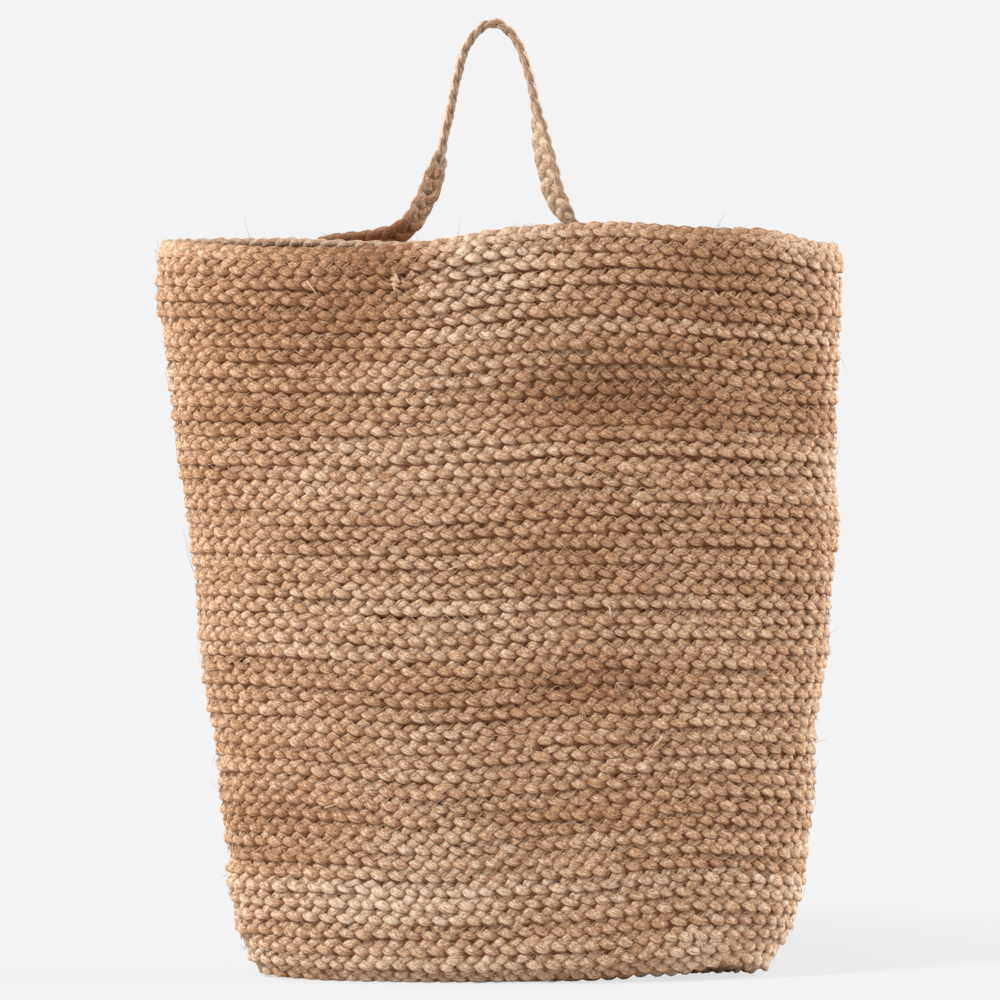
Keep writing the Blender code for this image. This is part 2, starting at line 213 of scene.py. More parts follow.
# %% The oval, spaced evenly round
def even_oval(count):
    """Superellipse x = cos^(2/n), y = sin^(2/n), read at even steps of the rim's length."""
    angle = np.linspace(0, 2 * math.pi, count) + math.pi / 2
    across = np.sign(np.cos(angle)) * np.abs(np.cos(angle)) ** (2 / OVAL_POWER)
    behind = np.sign(np.sin(angle)) * np.abs(np.sin(angle)) ** (2 / OVAL_POWER)
    steps = np.hypot(np.diff(across) * RIM_WIDTH, np.diff(behind) * RIM_DEPTH)
    run = np.concatenate([[0], np.cumsum(steps)])
    return run / run[-1], across, behind


OVAL_RUN, OVAL_ACROSS, OVAL_BEHIND = even_oval(8001)


def wall_place(turn, run):
    """Shares that tell where on the basket a point is: across, behind, up, and its offsets.

    The corner's angle goes from 0 on the base to a right angle on the wall. Climb is the height
    wound above the corner and flat is the distance wound inward of it, each 0 elsewhere.
    """
    across = np.interp(run % 1.0, OVAL_RUN, OVAL_ACROSS)
    behind = np.interp(run % 1.0, OVAL_RUN, OVAL_BEHIND)
    corner = np.clip((turn - BASE_TURNS) / CORNER_TURNS, 0, 1) * math.pi / 2
    climb = np.clip(turn - WALL_START, 0, None) * TURN_HEIGHT
    flat = np.clip(BASE_TURNS - turn, 0, None) * TURN_HEIGHT * BASE_SPREAD
    return across, behind, corner, climb, flat


def basket_surface(turn, run, outward):
    """A point of the basket: flat spiral, then a quarter round, then a flared wall.

    Inset = radius + flat - (radius + outward) sin(corner) and height = foot + climb -
    (radius + outward) cos(corner) hold for all three parts.
    """
    across, behind, corner, climb, flat = wall_place(turn, run)
    flare = (climb / (BASKET_HEIGHT - WALL_FOOT)) ** FLARE_POWER
    half_width = (FOOT_WIDTH + (RIM_WIDTH - FOOT_WIDTH) * flare) / 2 - HALF_WALL
    half_depth = (FOOT_DEPTH + (RIM_DEPTH - FOOT_DEPTH) * flare) / 2 - HALF_WALL
    inset = CORNER_RADIUS + flat - (CORNER_RADIUS + outward) * np.sin(corner)
    height = WALL_FOOT + climb - (CORNER_RADIUS + outward) * np.cos(corner)
    up = np.clip(height / BASKET_HEIGHT, 0, 1.02)
    x = FOOT_LEAN * (1 - up) + across * (half_width - inset) + side_wave(across, up)
    y = behind * (half_depth - inset) + dent(across, behind, up)
    z = height + rim_rise(across, behind, up) + row_lift(across, behind, up)
    return np.stack([x, y, z], axis=-1)


def unit(vectors):
    return vectors / np.linalg.norm(vectors, axis=-1, keepdims=True)


def surface_frame(turn, run):
    """Directions on the basket: along the coil, up the wall and outward, from small steps."""
    step_round, step_turn = 0.002, 0.05
    ahead = basket_surface(turn, run + step_round, 0.0)
    above = basket_surface(turn + step_turn, run, 0.0)
    along = unit(ahead - basket_surface(turn, run - step_round, 0.0))
    up = above - basket_surface(turn - step_turn, run, 0.0)
    outward = unit(np.cross(along, up))
    return along, unit(np.cross(outward, along)), outward


front_middle = basket_surface(np.array([float(LAST_TURN)]), np.array([0.5]), 0.0)[0]
print("rim at the middle of the front, mm:", (front_middle / MM).round(1))

# %% [markdown]
# ## Strands as tubes on a grid
# A strand is a tube: stations along it, sides round it. Written as one array, the whole tube is
# worked out at once, and a mesh needs only its corners, its faces and where each face reads the
# pattern. The pattern coordinate runs along the strand in metres and round it from 0 to 1, so
# fibres can be drawn lengthwise. Two more numbers go with each corner: the tone of that lot of
# jute, and its share of painted shade, most where it lies deep in a crease. Each end is closed by
# one small cap.

# %% Make a mesh of closed tubes
def tube_faces(stations, sides, start):
    """Corner numbers of a tube's quads, station by station, plus its two caps."""
    station = np.arange(stations - 1)[:, None]
    side = np.arange(sides)[None, :]
    after = (side + 1) % sides
    near, far = station * sides, (station + 1) * sides
    quads = np.stack([near + side, near + after, far + after, far + side], axis=-1)
    first_cap = np.arange(sides)[::-1] + start
    last_cap = np.arange(sides) + (stations - 1) * sides + start
    return quads.reshape(-1, 4) + start, first_cap, last_cap


def tube_pattern(along, sides):
    """Pattern coordinates for each corner of the quads: metres along, and 0 to 1 round."""
    low = np.broadcast_to(np.arange(sides)[None, :] / sides, (len(along) - 1, sides))
    near = np.broadcast_to(along[:-1, None], low.shape)
    far = np.broadcast_to(along[1:, None], low.shape)
    high = low + 1 / sides
    corners = [(near, low), (near, high), (far, high), (far, low)]
    return np.stack([np.stack(pair, axis=-1) for pair in corners], axis=2).reshape(-1, 2)


def point_values(mesh, name, values):
    """Stores one number for each point of a mesh, for its material to read."""
    data = mesh.attributes.new(name, "FLOAT", "POINT")
    data.data.foreach_set("value", values.astype(np.float32))


def tubes_object(name, tubes, material):
    """One object of many closed tubes: each has a grid of points, metres along, tone, painted
    shade.
    """
    points, tones, creases, loops, totals, pattern = [], [], [], [], [], []
    start = 0
    for tube in tubes:
        stations, sides = tube["grid"].shape[:2]
        quads, first_cap, last_cap = tube_faces(stations, sides, start)
        points.append(tube["grid"].reshape(-1, 3))
        tones.append(np.repeat(tube["tone"], sides))
        creases.append(np.broadcast_to(tube["crease"], (stations, sides)).ravel())
        loops += [quads.ravel(), first_cap, last_cap]
        totals += [np.full(len(quads), 4), np.array([sides, sides])]
        along = tube["along"]
        caps = np.repeat([[along[0], 0.0], [along[-1], 0.0]], sides, axis=0)
        pattern += [tube_pattern(along, sides), caps]
        start += stations * sides
    points, loops, totals = (np.concatenate(part) for part in (points, loops, totals))
    mesh = bpy.data.meshes.new(name)
    mesh.vertices.add(len(points))
    mesh.vertices.foreach_set("co", points.astype(np.float32).ravel())
    mesh.loops.add(len(loops))
    mesh.loops.foreach_set("vertex_index", loops.astype(np.int32))
    mesh.polygons.add(len(totals))
    starts = np.concatenate([[0], np.cumsum(totals)[:-1]])
    mesh.polygons.foreach_set("loop_start", starts.astype(np.int32))
    mesh.update(calc_edges=True)
    layer = mesh.uv_layers.new(name="along_strand")
    layer.uv.foreach_set("vector", np.concatenate(pattern).astype(np.float32).ravel())
    point_values(mesh, "tone", np.concatenate(tones))
    point_values(mesh, "crease", np.concatenate(creases))
    mesh.materials.append(material)
    mesh.shade_smooth()
    thing = bpy.data.objects.new(name, mesh)
    bpy.context.collection.objects.link(thing)
    mesh.calc_loop_triangles()
    print(f"{name}: {len(mesh.loop_triangles)} triangles")
    return thing


# %% A round tube along a line
def line_length(line):
    """Distance along a line of points, from 0."""
    return np.concatenate([[0], np.cumsum(np.linalg.norm(np.diff(line, axis=0), axis=1))])


def round_tube(line, radius, sides, tone=0.0, crease=0.0, along=None):
    """A round tube: circles square to the line, with Z or X as the first guide."""
    way = unit(np.gradient(line, axis=0))
    guide = np.where(np.abs(way[:, 2:3]) < 0.9, [[0.0, 0.0, 1.0]], [[1.0, 0.0, 0.0]])
    wide = unit(np.cross(guide, way))
    deep = np.cross(way, wide)
    ring = np.arange(sides) / sides * 2 * math.pi
    radius = np.broadcast_to(radius, len(line))[:, None, None]
    spread = np.cos(ring)[:, None] * wide[:, None, :] + np.sin(ring)[:, None] * deep[:, None, :]
    return {
        "grid": line[:, None, :] + radius * spread,
        "along": line_length(line) if along is None else along,
        "tone": np.broadcast_to(tone, len(line)),
        "crease": np.broadcast_to(crease, len(line))[:, None],
    }


# %% [markdown]
# ## Unevenness
# Nothing made by hand repeats. A smooth random walk along the plait moves the strands, swells
# and thins them and changes their tone. Its seed is fixed, so the basket is the same each time.

# %% A smooth wander along a length
def wander(run, spacing, seed):
    """Random values about 0, one each spacing, eased between neighbours."""
    knots = np.random.default_rng(seed).normal(size=int(run.max() / spacing) + 3)
    low = np.floor(run / spacing).astype(int)
    share = ease(run / spacing - low)
    return knots[low] * (1 - share) + knots[low + 1] * share


# %% [markdown]
# ## Jute
# Jute is a bast fibre: long, stiff, flat hairs in a loose bundle, cream to tan, with a dull
# silky sheen along the hairs and a dark gap wherever bundles part. It is spun, not dyed, so one
# lot differs a little from the next. The fibres are drawn as noise stretched along the strand:
# a streak is about 4 mm long and 1 mm wide, coarser than a hair, so that it shows. Light hardly
# reaches the creases between strands, so their shade is painted into the colour as a brown.

# %% Helpers for materials
def srgb(hex_colour, alpha=1.0):
    """A hex colour as linear light: each channel c becomes ((c + 0.055) / 1.055) ^ 2.4."""
    channels = [int(hex_colour[place : place + 2], 16) / 255 for place in (1, 3, 5)]
    linear = [c / 12.92 if c <= 0.04045 else ((c + 0.055) / 1.055) ** 2.4 for c in channels]
    return (*linear, alpha)


def add_node(tree, kind, settings=None, inputs=None):
    """Adds one node with its settings. Each input gets a value or the socket that feeds it."""
    node = tree.nodes.new("ShaderNode" + kind)
    for key, value in (settings or {}).items():
        setattr(node, key, value)
    for key, value in (inputs or {}).items():
        if isinstance(value, bpy.types.NodeSocket):
            tree.links.new(value, node.inputs[key])
        else:
            node.inputs[key].default_value = value
    return node


# %% Jute, retted and plaited by hand
# Length, count round the strand, and detail: broad streaks first, then hairs
STREAKS = ((3.6 * MM, 11, 3.0), (1.7 * MM, 25, 2.0))
STREAK_ROUGHNESS = 0.62
HAIR_SHARE = 0.55
FIBRE_TWIST = -8
TONE_PLACES = (0.32, 0.5, 0.68)
# Painted crease shade: the brown it is mixed towards, how steeply and how far
CREASE_SHADE_BROWN = "#7A4622"
CREASE_SHADE_POWER = 1.4
CREASE_SHADE_SHARE = 0.9
RIDGE_HEIGHT = 0.58 * MM


def jute(name, dark, middle, light, roughness):
    """Natural jute: fibre streaks pick one of three tones and raise ridges; shade in creases is
    painted brown.
    """
    material = bpy.data.materials.new(name)
    material.use_nodes = True
    tree = material.node_tree
    surface = tree.nodes["Principled BSDF"]
    place = add_node(tree, "UVMap", {"uv_map": "along_strand"})
    parts = add_node(tree, "SeparateXYZ", {}, {"Vector": place.outputs["UV"]})
    along, around = parts.outputs["X"], parts.outputs["Y"]
    turning = {0: along, 1: FIBRE_TWIST, 2: around}
    twist = add_node(tree, "Math", {"operation": "MULTIPLY_ADD"}, turning)
    twisted = add_node(tree, "CombineXYZ", {}, {"X": along, "Y": twist.outputs["Value"]})
    layers = []
    for length, count, detail in STREAKS:
        scale = {0: twisted.outputs["Vector"], 1: (1 / length, count, 0.0)}
        stretched = add_node(tree, "VectorMath", {"operation": "MULTIPLY"}, scale)
        pattern = {"Scale": 1.0, "Detail": detail, "Roughness": STREAK_ROUGHNESS}
        pattern["Vector"] = stretched.outputs["Vector"]
        noise = add_node(tree, "TexNoise", {"noise_dimensions": "2D"}, pattern)
        layers.append(noise.outputs["Fac"])
    mixed = {"Factor": HAIR_SHARE, "A": layers[0], "B": layers[1]}
    both = add_node(tree, "Mix", {"data_type": "FLOAT"}, mixed).outputs["Result"]
    tone = add_node(tree, "Attribute", {"attribute_name": "tone"})
    shifted = add_node(tree, "Math", {"operation": "ADD"}, {0: both, 1: tone.outputs["Fac"]})
    ramp = add_node(tree, "ValToRGB", {}, {"Fac": shifted.outputs["Value"]})
    tones = ramp.color_ramp.elements
    tones.new(TONE_PLACES[1])
    for element, tone_place, colour in zip(tones, TONE_PLACES, (dark, middle, light)):
        element.position = tone_place
        element.color = srgb(colour)
    crease = add_node(tree, "Attribute", {"attribute_name": "crease"})
    power = {0: crease.outputs["Fac"], 1: CREASE_SHADE_POWER}
    depth = add_node(tree, "Math", {"operation": "POWER", "use_clamp": True}, power)
    reach = {0: depth.outputs["Value"], 1: CREASE_SHADE_SHARE}
    crease_shade_amount = add_node(tree, "Math", {"operation": "MULTIPLY"}, reach)
    colours = {"Factor": crease_shade_amount.outputs["Value"], "A": ramp.outputs["Color"]}
    colours["B"] = srgb(CREASE_SHADE_BROWN)
    shaded = add_node(tree, "Mix", {"data_type": "RGBA"}, colours)
    bump = add_node(tree, "Bump", {}, {"Strength": 1.0, "Distance": RIDGE_HEIGHT, "Height": both})
    tree.links.new(shaded.outputs["Result"], surface.inputs["Base Color"])
    tree.links.new(bump.outputs["Normal"], surface.inputs["Normal"])
    surface.inputs["Roughness"].default_value = roughness
    surface.inputs["IOR"].default_value = 1.53
    surface.inputs["Specular IOR Level"].default_value = 0.2
    surface.inputs["Sheen Weight"].default_value = 0.04
    surface.inputs["Sheen Roughness"].default_value = 0.5
    surface.inputs["Sheen Tint"].default_value = srgb("#E8C79C")
    print("material", name)
    return material


JUTE = jute("jute_retted_plaited", "#8C6142", "#C69873", "#F2DABF", 0.8)
SEWING_THREAD = jute("jute_yarn_spun", "#BC8A60", "#E0B58C", "#F6D9B6", 0.7)
LOOSE_FIBRE = jute("jute_fibre_raw", "#C9986C", "#E6BF98", "#F8E2C6", 0.65)

# %% [markdown]
# ## The plait
# Three strands take turns over one another. Seen from the end, each runs round a flat figure of
# eight: sideways it goes as the sine of an angle and in depth as the sine of twice that angle,
# and the three are a third of a round apart. Where a strand comes to the front it is plump,
# where it dives under it is thin. That gives the row of arrowheads that the basket shows.

# %% Strands of a plait
STRAND_SIDES = 8
STATIONS_PER_ROUND = 16
STRAND_RING = np.arange(STRAND_SIDES) / STRAND_SIDES * 2 * math.pi
FLAT_POWER = 0.78
# Painted shade on the flanks of each strand
FLANK_SHADE = 0.85
LIT_EDGE = 4 * MM


def along_way(away, ways):
    """Distance of each point along its station's own direction: a dot product."""
    return np.sum(away * ways[:, None, :], axis=-1)


def flattened(values):
    """Pushes a circle's sines and cosines outward: sign(v) |v|^0.78, for a squarer section."""
    return np.sign(values) * np.abs(values) ** FLAT_POWER


def crease_depth(grid, centre, through, look):
    """How much shade is painted on a point, 0 to 1: the largest of three shares.

    It is 1 in the middle of the plait's thickness, easing to 0 at its high places: painted crease
    shade. The flanks of each strand take painted shade by (1 - |sin|)^1.6 round it. The last share
    is painted shade on the side that faces away from the light, easing in over a few millimetres,
    and it ends below the lit outer edge, where the other two may fade as well.
    """
    away = grid - centre[:, None, :]
    low, high = look["crease"]
    deep = 1 - ease((np.abs(along_way(away, through)) - low) / (high - low))
    flank = FLANK_SHADE * (1 - np.abs(np.sin(STRAND_RING))) ** 1.6
    start, reach = look["shade_span"]
    shade = look["shade"][:, None] * ease((start - along_way(away, look["lit_way"])) / reach)
    below = ease((look["lit_above"][:, None] - along_way(away, look["up"])) / LIT_EDGE)
    outside = np.maximum(deep * look["deep_share"][:, None], flank)
    outside = outside * look["outer_share"][:, None] * (1 - look["edge_lit"][:, None] * (1 - below))
    return np.maximum(outside, shade * below)


def plait_strands(route, keep, look, seed):
    """Three tubes round a centre line. Sideways a tanh(k sin t) / tanh k, depth b sin 2t.

    The three are a third of a round apart; a larger k keeps a strand longer at the edge. Each
    tube is an ellipse set square to its own strand, widened by 1 + plump sin(2t + early), so
    that it is fullest just after it comes over its neighbour, where a paler tone is painted on as a
    highlight.
    Route and look hold arrays for a whole plait, of which the slice named keep is made.
    """
    centre, across, through, phase, along = (values[keep] for values in route)
    look = {key: v[keep] if isinstance(v, np.ndarray) else v for key, v in look.items()}
    tubes = []
    square = look["square"]
    for strand in range(3):
        own = seed * 10 + strand
        angle = phase + 2 * math.pi * strand / 3
        loose = look["uneven"]
        sway = look["sway"] * (1 + 0.07 * loose * wander(along, 0.030, own + 1)) * look["fade"]
        deep_sway = look["depth"] * (1 + 0.15 * loose * wander(along, 0.012, own + 6))
        deep_sway = deep_sway * look["fade"]
        swing = np.tanh(square * np.sin(angle)) / np.tanh(square)
        line = centre + (sway * swing)[:, None] * across
        line = line + (deep_sway * np.sin(2 * angle))[:, None] * through
        way = unit(np.gradient(line, axis=0))
        wide = unit(np.cross(through, way))
        deep = np.cross(way, wide)
        plump = 1 + look["plump"] * np.sin(2 * angle + look["early"])
        uneven = 0.07 * wander(along, 0.045, own + 2) + 0.10 * wander(along, 0.0105, own + 3)
        uneven = 1 + loose * uneven
        half_wide = look["strand_wide"] / 2 * plump * uneven * look["fade"]
        half_deep = look["strand_deep"] / 2 * (1 + 0.5 * (plump - 1)) * uneven * look["fade"]
        grid = (
            line[:, None, :]
            + (half_wide[:, None] * flattened(np.cos(STRAND_RING)))[..., None] * wide[:, None, :]
            + (half_deep[:, None] * flattened(np.sin(STRAND_RING)))[..., None] * deep[:, None, :]
        )
        tone = look["tone"] + 0.012 * wander(along, 0.16, own + 4)
        tone = tone + 0.015 * wander(along, 0.016, own + 5)
        # Painted highlight: paler where the strand comes over its neighbour, darker where it dives
        tone = tone + look["painted_highlight"] * np.sin(2 * angle + 0.8)
        tubes.append(
            {
                "grid": grid,
                "along": along + 7.3 * strand + 31.7 * seed,
                "tone": tone,
                "crease": crease_depth(grid, centre, through, look),
            }
        )
    return tubes


# %% [markdown]
# ## Winding the wall
# Each turn is sewn over the top of the one below, like tiles, so the plait leans: its lower edge
# stands out and its upper edge is tucked under the next turn. The plait is 12 mm wide, of which
# 9 mm shows. One bump of a strand is about 10.4 mm long in the photograph, so a strand takes
# three times that to come round. Each turn runs level and climbs to the next within a short
# stretch at the back, where the last turn also ends, so that the rim stays level in front.

# %% Follow the coil from the middle of the base to the rim
PLAIT_WIDTH = 11.7 * MM
STRAND_WIDE = 5.4 * MM
STRAND_DEEP = 3.5 * MM
PLAIT_DEPTH = 1.5 * MM
STRAND_ROUND = 31.0 * MM
LEAN_ANGLE = math.radians(16)
PLAIT_SINK = 0.8 * MM
CLIMB_START_RUN = 0.79
CLIMB_SHARE = 0.11
# The coil starts a little before its first round, tucked into the middle of the base
COIL_START = -0.95
RIM_TAIL_SHARE = 0.05
RIM_SINK = 1.9 * MM
RIM_TUCK = 1.4 * MM
RIM_LEAN_ANGLE = math.radians(22)
BASE_PRESS = 0.2 * MM
# How the plait strays up and down the wall: size in mm, spacing in metres and seed of a wander
WOBBLES_UP = ((0.35, 0.035, 11), (0.22, 0.009, 12), (0.30, 0.17, 16))
SAMPLES_PER_TURN = 700


def coil_turn_at(rounds):
    """Turn of the plait's middle: level for most of a round, with an eased climb at its start."""
    whole = np.floor(np.clip(rounds, None, LAST_TURN - 1e-9))
    return whole - 0.5 + ease((rounds - whole) / CLIMB_SHARE)


round_marks = np.linspace(
    COIL_START, LAST_TURN + RIM_TAIL_SHARE, int((LAST_TURN + 1) * SAMPLES_PER_TURN)
)
line_marks = basket_surface(coil_turn_at(round_marks), CLIMB_START_RUN + round_marks, 0.0)
length_marks = np.linalg.norm(np.diff(line_marks, axis=0), axis=1)
length_marks = np.concatenate([[0], np.cumsum(length_marks)])
COIL_LENGTH = length_marks[-1]
coil_along = np.arange(0, COIL_LENGTH, STRAND_ROUND / STATIONS_PER_ROUND)
coil_rounds = np.interp(coil_along, length_marks, round_marks)
coil_turn = coil_turn_at(coil_rounds)
coil_run = CLIMB_START_RUN + coil_rounds
print(f"the coil takes {COIL_LENGTH:.1f} m of plait, {len(coil_along)} stations")

# %% Place the plait on the basket's surface
_, way_up, way_out = surface_frame(coil_turn, coil_run)
wobble_up = MM * sum(size * wander(coil_along, step, seed) for size, step, seed in WOBBLES_UP)
wobble_out = 0.42 * MM * wander(coil_along, 0.028, 13)
press_base = BASE_PRESS * np.clip(WALL_START - coil_turn, 0, 1)
coil_middle = basket_surface(coil_turn, coil_run, 0.0)
at_rim = ease((coil_turn - (LAST_TURN - 1.5)) / 0.9)
sink = PLAIT_SINK + (RIM_SINK - PLAIT_SINK) * at_rim
coil_centre = coil_middle + (wobble_up * (1 - 0.7 * at_rim) - sink)[:, None] * way_up
coil_across, coil_behind, _, _, _ = wall_place(coil_turn, coil_run)
coil_side = ease((np.abs(coil_across) - 0.92) / 0.08)
front_tuck = RIM_TUCK * ease(0.5 - 1.5 * coil_behind)
shift_out = wobble_out * (1 - 0.7 * at_rim) + press_base - front_tuck * at_rim
coil_centre = coil_centre + shift_out[:, None] * way_out
lean = LEAN_ANGLE + (RIM_LEAN_ANGLE - LEAN_ANGLE) * at_rim
lean = (lean * (1 + 0.18 * (1 - at_rim) * wander(coil_along, 0.05, 14)))[:, None]
plait_across = np.cos(lean) * way_up - np.sin(lean) * way_out
plait_through = np.cos(lean) * way_out + np.sin(lean) * way_up
coil_phase = 2 * math.pi * coil_along / STRAND_ROUND + 0.55 * wander(coil_along, 0.06, 15)
coil_phase = coil_phase + 0.22 * wander(coil_along, 0.018, 17)
tail = 1 - 0.75 * ease((coil_rounds - LAST_TURN) / RIM_TAIL_SHARE)
head = 0.3 + 0.7 * ease((coil_rounds - COIL_START) / 0.03)
COIL_ROUTE = (coil_centre, plait_across, plait_through, coil_phase, coil_along)
print("coil placed")

# %% [markdown]
# ## Lots of jute
# Bands of the wall are a shade darker or lighter: another lot of jute. Soft patches over the front
# are painted shade and painted light, with a little tone of the jute in them, and the ends of the
# oval and the back rim are painted lighter. They are added to the tone along the coil, so they
# follow the strands.

# %% Tone of each stretch
# The ends of the oval are painted lighter: painted light, as from the side lamps
SIDE_SHARE = 0.90
SIDE_PAINTED_LIGHT = 0.05
LOT_TONES = (0.005, -0.010, 0.010, -0.010, 0.010, -0.010, 0.0, 0.0)
# Painted shade and painted light over the front, with some tone of the jute in them
# Across, up, spread across, spread up, tone: shares of the half width and the height
FRONT_TONE_AND_SHADE_PATCHES = (
    (0.44, 0.79, 0.38, 0.06, -0.13),
    (0.63, 0.95, 0.20, 0.07, -0.10),
    (-0.12, 0.94, 0.18, 0.07, 0.06),
    (0.02, 0.97, 0.15, 0.05, 0.05),
    (-0.52, 0.90, 0.22, 0.07, -0.09),
    (-0.60, 1.00, 0.20, 0.04, -0.08),
    (-0.35, 0.98, 0.12, 0.045, -0.15),
    (-0.82, 0.20, 0.28, 0.09, -0.07),
    (-0.28, 0.19, 0.22, 0.05, 0.04),
    (0.20, 0.76, 0.20, 0.05, -0.05),
    (0.20, 0.24, 0.35, 0.04, -0.04),
    (0.84, 0.99, 0.10, 0.06, 0.07),
    (-0.02, 0.915, 0.24, 0.05, 0.05),
    (0.90, 0.80, 0.12, 0.04, -0.06),
    (0.50, 0.73, 0.24, 0.05, -0.03),
    (-0.97, 0.45, 0.10, 0.22, -0.03),
    (-0.97, 0.69, 0.10, 0.05, -0.04),
    (-0.30, 0.335, 0.15, 0.05, 0.05),
    (0.28, 0.41, 0.16, 0.05, -0.05),
    (0.97, 0.52, 0.10, 0.08, -0.02),
    (0.97, 0.76, 0.10, 0.05, -0.05),
    (0.66, 0.36, 0.16, 0.07, 0.05),
    (-0.62, 0.11, 0.24, 0.05, 0.055),
    (-0.66, 0.02, 0.24, 0.03, -0.02),
    (0.46, 0.03, 0.12, 0.035, -0.06),
    (0.68, 0.04, 0.12, 0.04, 0.06),
    (-0.62, 0.69, 0.15, 0.04, 0.04),
    (-0.75, 0.78, 0.25, 0.10, -0.09),
    (0.15, 0.62, 0.25, 0.05, -0.05),
    (0.22, 0.56, 0.25, 0.05, -0.06),
    (0.10, 0.40, 0.80, 0.04, -0.08),
    (-0.20, 0.52, 0.35, 0.04, 0.04),
    (-0.40, 0.10, 0.35, 0.08, 0.03),
    (0.65, 0.20, 0.40, 0.12, -0.04),
    (0.75, 0.60, 0.25, 0.14, -0.04),
)


def tone_and_painted_light(turn, run):
    """Painted light on the ends of the oval, and a sum of bells over the front: painted shade and
    painted light, with some tone of the jute.
    """
    across, behind, _, climb, _ = wall_place(turn, run)
    up = (WALL_FOOT + climb) / BASKET_HEIGHT
    tone = SIDE_PAINTED_LIGHT * ease((np.abs(across) - SIDE_SHARE) / (1 - SIDE_SHARE))
    for centre, height, wide, tall, change in FRONT_TONE_AND_SHADE_PATCHES:
        tone = tone + change * bell(across, centre, wide) * bell(up, height, tall) * (behind < 0)
    return tone


coil_tone = tone_and_painted_light(coil_turn, coil_run) + 0.022 * wander(coil_along, 0.9, 18)
# Painted light: the back rim is painted lighter, so that its top edge reads as lit
coil_tone = coil_tone + 0.08 * at_rim * ease(coil_behind / 0.4)
print("tone from", coil_tone.min().round(3), "to", coil_tone.max().round(3))

# %% Cut the coil into the pieces that the solids stand for
# The inside takes painted shade: it is browner than the outside.
INSIDE_SHADE = 0.7
# At the rim the plait is pulled tighter: it is narrower, flatter and more even
COIL_LOOK = {
    "sway": (PLAIT_WIDTH - STRAND_WIDE) / 2 * (1 - 0.12 * at_rim),
    "square": 1.3 + 1.3 * at_rim,
    "depth": PLAIT_DEPTH * (1 - 0.3 * at_rim),
    "plump": 0.20 - 0.12 * at_rim,
    "early": 0.45,
    "uneven": 1 - 0.6 * at_rim,
    "strand_wide": STRAND_WIDE,
    "strand_deep": STRAND_DEEP,
    "fade": tail * head,
    "painted_highlight": 0.035,
    # Painted shade: crease span and share, less on the oval's ends and the rim's lit top edge,
    # fuller inside at the rim
    "crease": (0.3 * MM, 3.0 * MM),
    "deep_share": 1 - 0.5 * at_rim,
    "outer_share": 1 - 0.45 * coil_side,
    "lit_way": way_out,
    "shade_span": (-1.0 * MM, 2.5 * MM),
    "shade": INSIDE_SHADE + (1 - INSIDE_SHADE) * at_rim,
    "up": way_up,
    "lit_above": np.where(at_rim > 0.5, 3.4 * MM, 20 * MM),
    "edge_lit": 0.7 * at_rim,
}


def coil_piece(name, first, last, tone):
    """The stretch of the coil between two rounds, all three strands, as one object."""
    inside = np.flatnonzero((coil_rounds >= first) & (coil_rounds <= last))
    keep = slice(inside[0], min(inside[-1] + 2, len(coil_turn)))
    tubes = plait_strands(COIL_ROUTE, keep, {**COIL_LOOK, "tone": coil_tone + tone}, 1)
    for tube in tubes:
        tube["grid"][..., 2] = on_floor(tube["grid"][..., 2])
    return tubes_object(name, tubes, JUTE)


def belongs(piece, body, slot, *nodes):
    """Says which body a piece moves with and hides the solids it stands for; its finish, slot, is
    not used.
    """
    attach(piece, body)
    if nodes:
        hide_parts(*nodes)


base = coil_piece("plait_base", COIL_START, BASE_TURNS, LOT_TONES[6])
belongs(base, "basket", "jute_plait", "base_core", "base_coil")
corner = coil_piece("plait_corner", BASE_TURNS, WALL_START, LOT_TONES[0])
belongs(corner, "basket", "jute_plait", "base_edge_coil")
first = WALL_START
for number, turns in enumerate(WALL_COIL_TURNS, start=1):
    wall = coil_piece(f"plait_wall_{number}", first, first + turns, LOT_TONES[number - 1])
    lot = "jute_plait" if number % 2 else "jute_plait_dark"
    belongs(wall, "basket", lot, f"wall_coil_{number}")
    first += turns
rim = coil_piece("plait_rim", first, LAST_TURN + 1, LOT_TONES[7])
belongs(rim, "basket", "jute_plait", "rim_coil")

# %% [markdown]
# ## The sewing
# A thin yarn zigzags over every seam: it goes down into the middle of one turn and up under the
# edge of the next. On the basket it shows here and there as a row of small light arrowheads.
# Inside the seam it is sewn over a thin cord, which closes the gap between the two turns.

# %% A thin cord inside every seam
CORD_THICKNESS = 3.4 * MM
CORD_DEPTH = 0.3 * MM
CORD_STEP = 8 * MM
CORD_SIDES = 5


def seam_places(first, last, step):
    """Places along the coil from one round to another: metres along it, rounds and runs."""
    start, stop = np.interp([first, last], round_marks, length_marks)
    along = np.arange(start, stop, step)
    rounds = np.interp(along, length_marks, round_marks)
    return along, rounds, CLIMB_START_RUN + rounds


cord_along, cord_rounds, cord_run = seam_places(COIL_START, LAST_TURN - 1, CORD_STEP)
# Halfway between each turn and the next, as deep in the wall as the plait
cord_turn = coil_turn_at(cord_rounds) + 0.5
_, cord_up, cord_out = surface_frame(cord_turn, cord_run)
cord_line = basket_surface(cord_turn, cord_run, 0.0) - PLAIT_SINK * cord_up - CORD_DEPTH * cord_out
cord_line[:, 2] = np.maximum(cord_line[:, 2], CORD_THICKNESS / 2)
# The cord is coloured wholly in painted crease shade
cord_tube = round_tube(cord_line, CORD_THICKNESS / 2, CORD_SIDES, 0.0, 1.0, cord_along)
cord = tubes_object("seam_cord", [cord_tube], JUTE)
belongs(cord, "basket", "jute_plait_dark")

# %% Zigzag thread along every seam
THREAD_THICKNESS = 0.72 * MM
THREAD_SIDES = 4
ZIGZAG_LENGTH = 10.4 * MM
ZIGZAG_STATIONS = 6


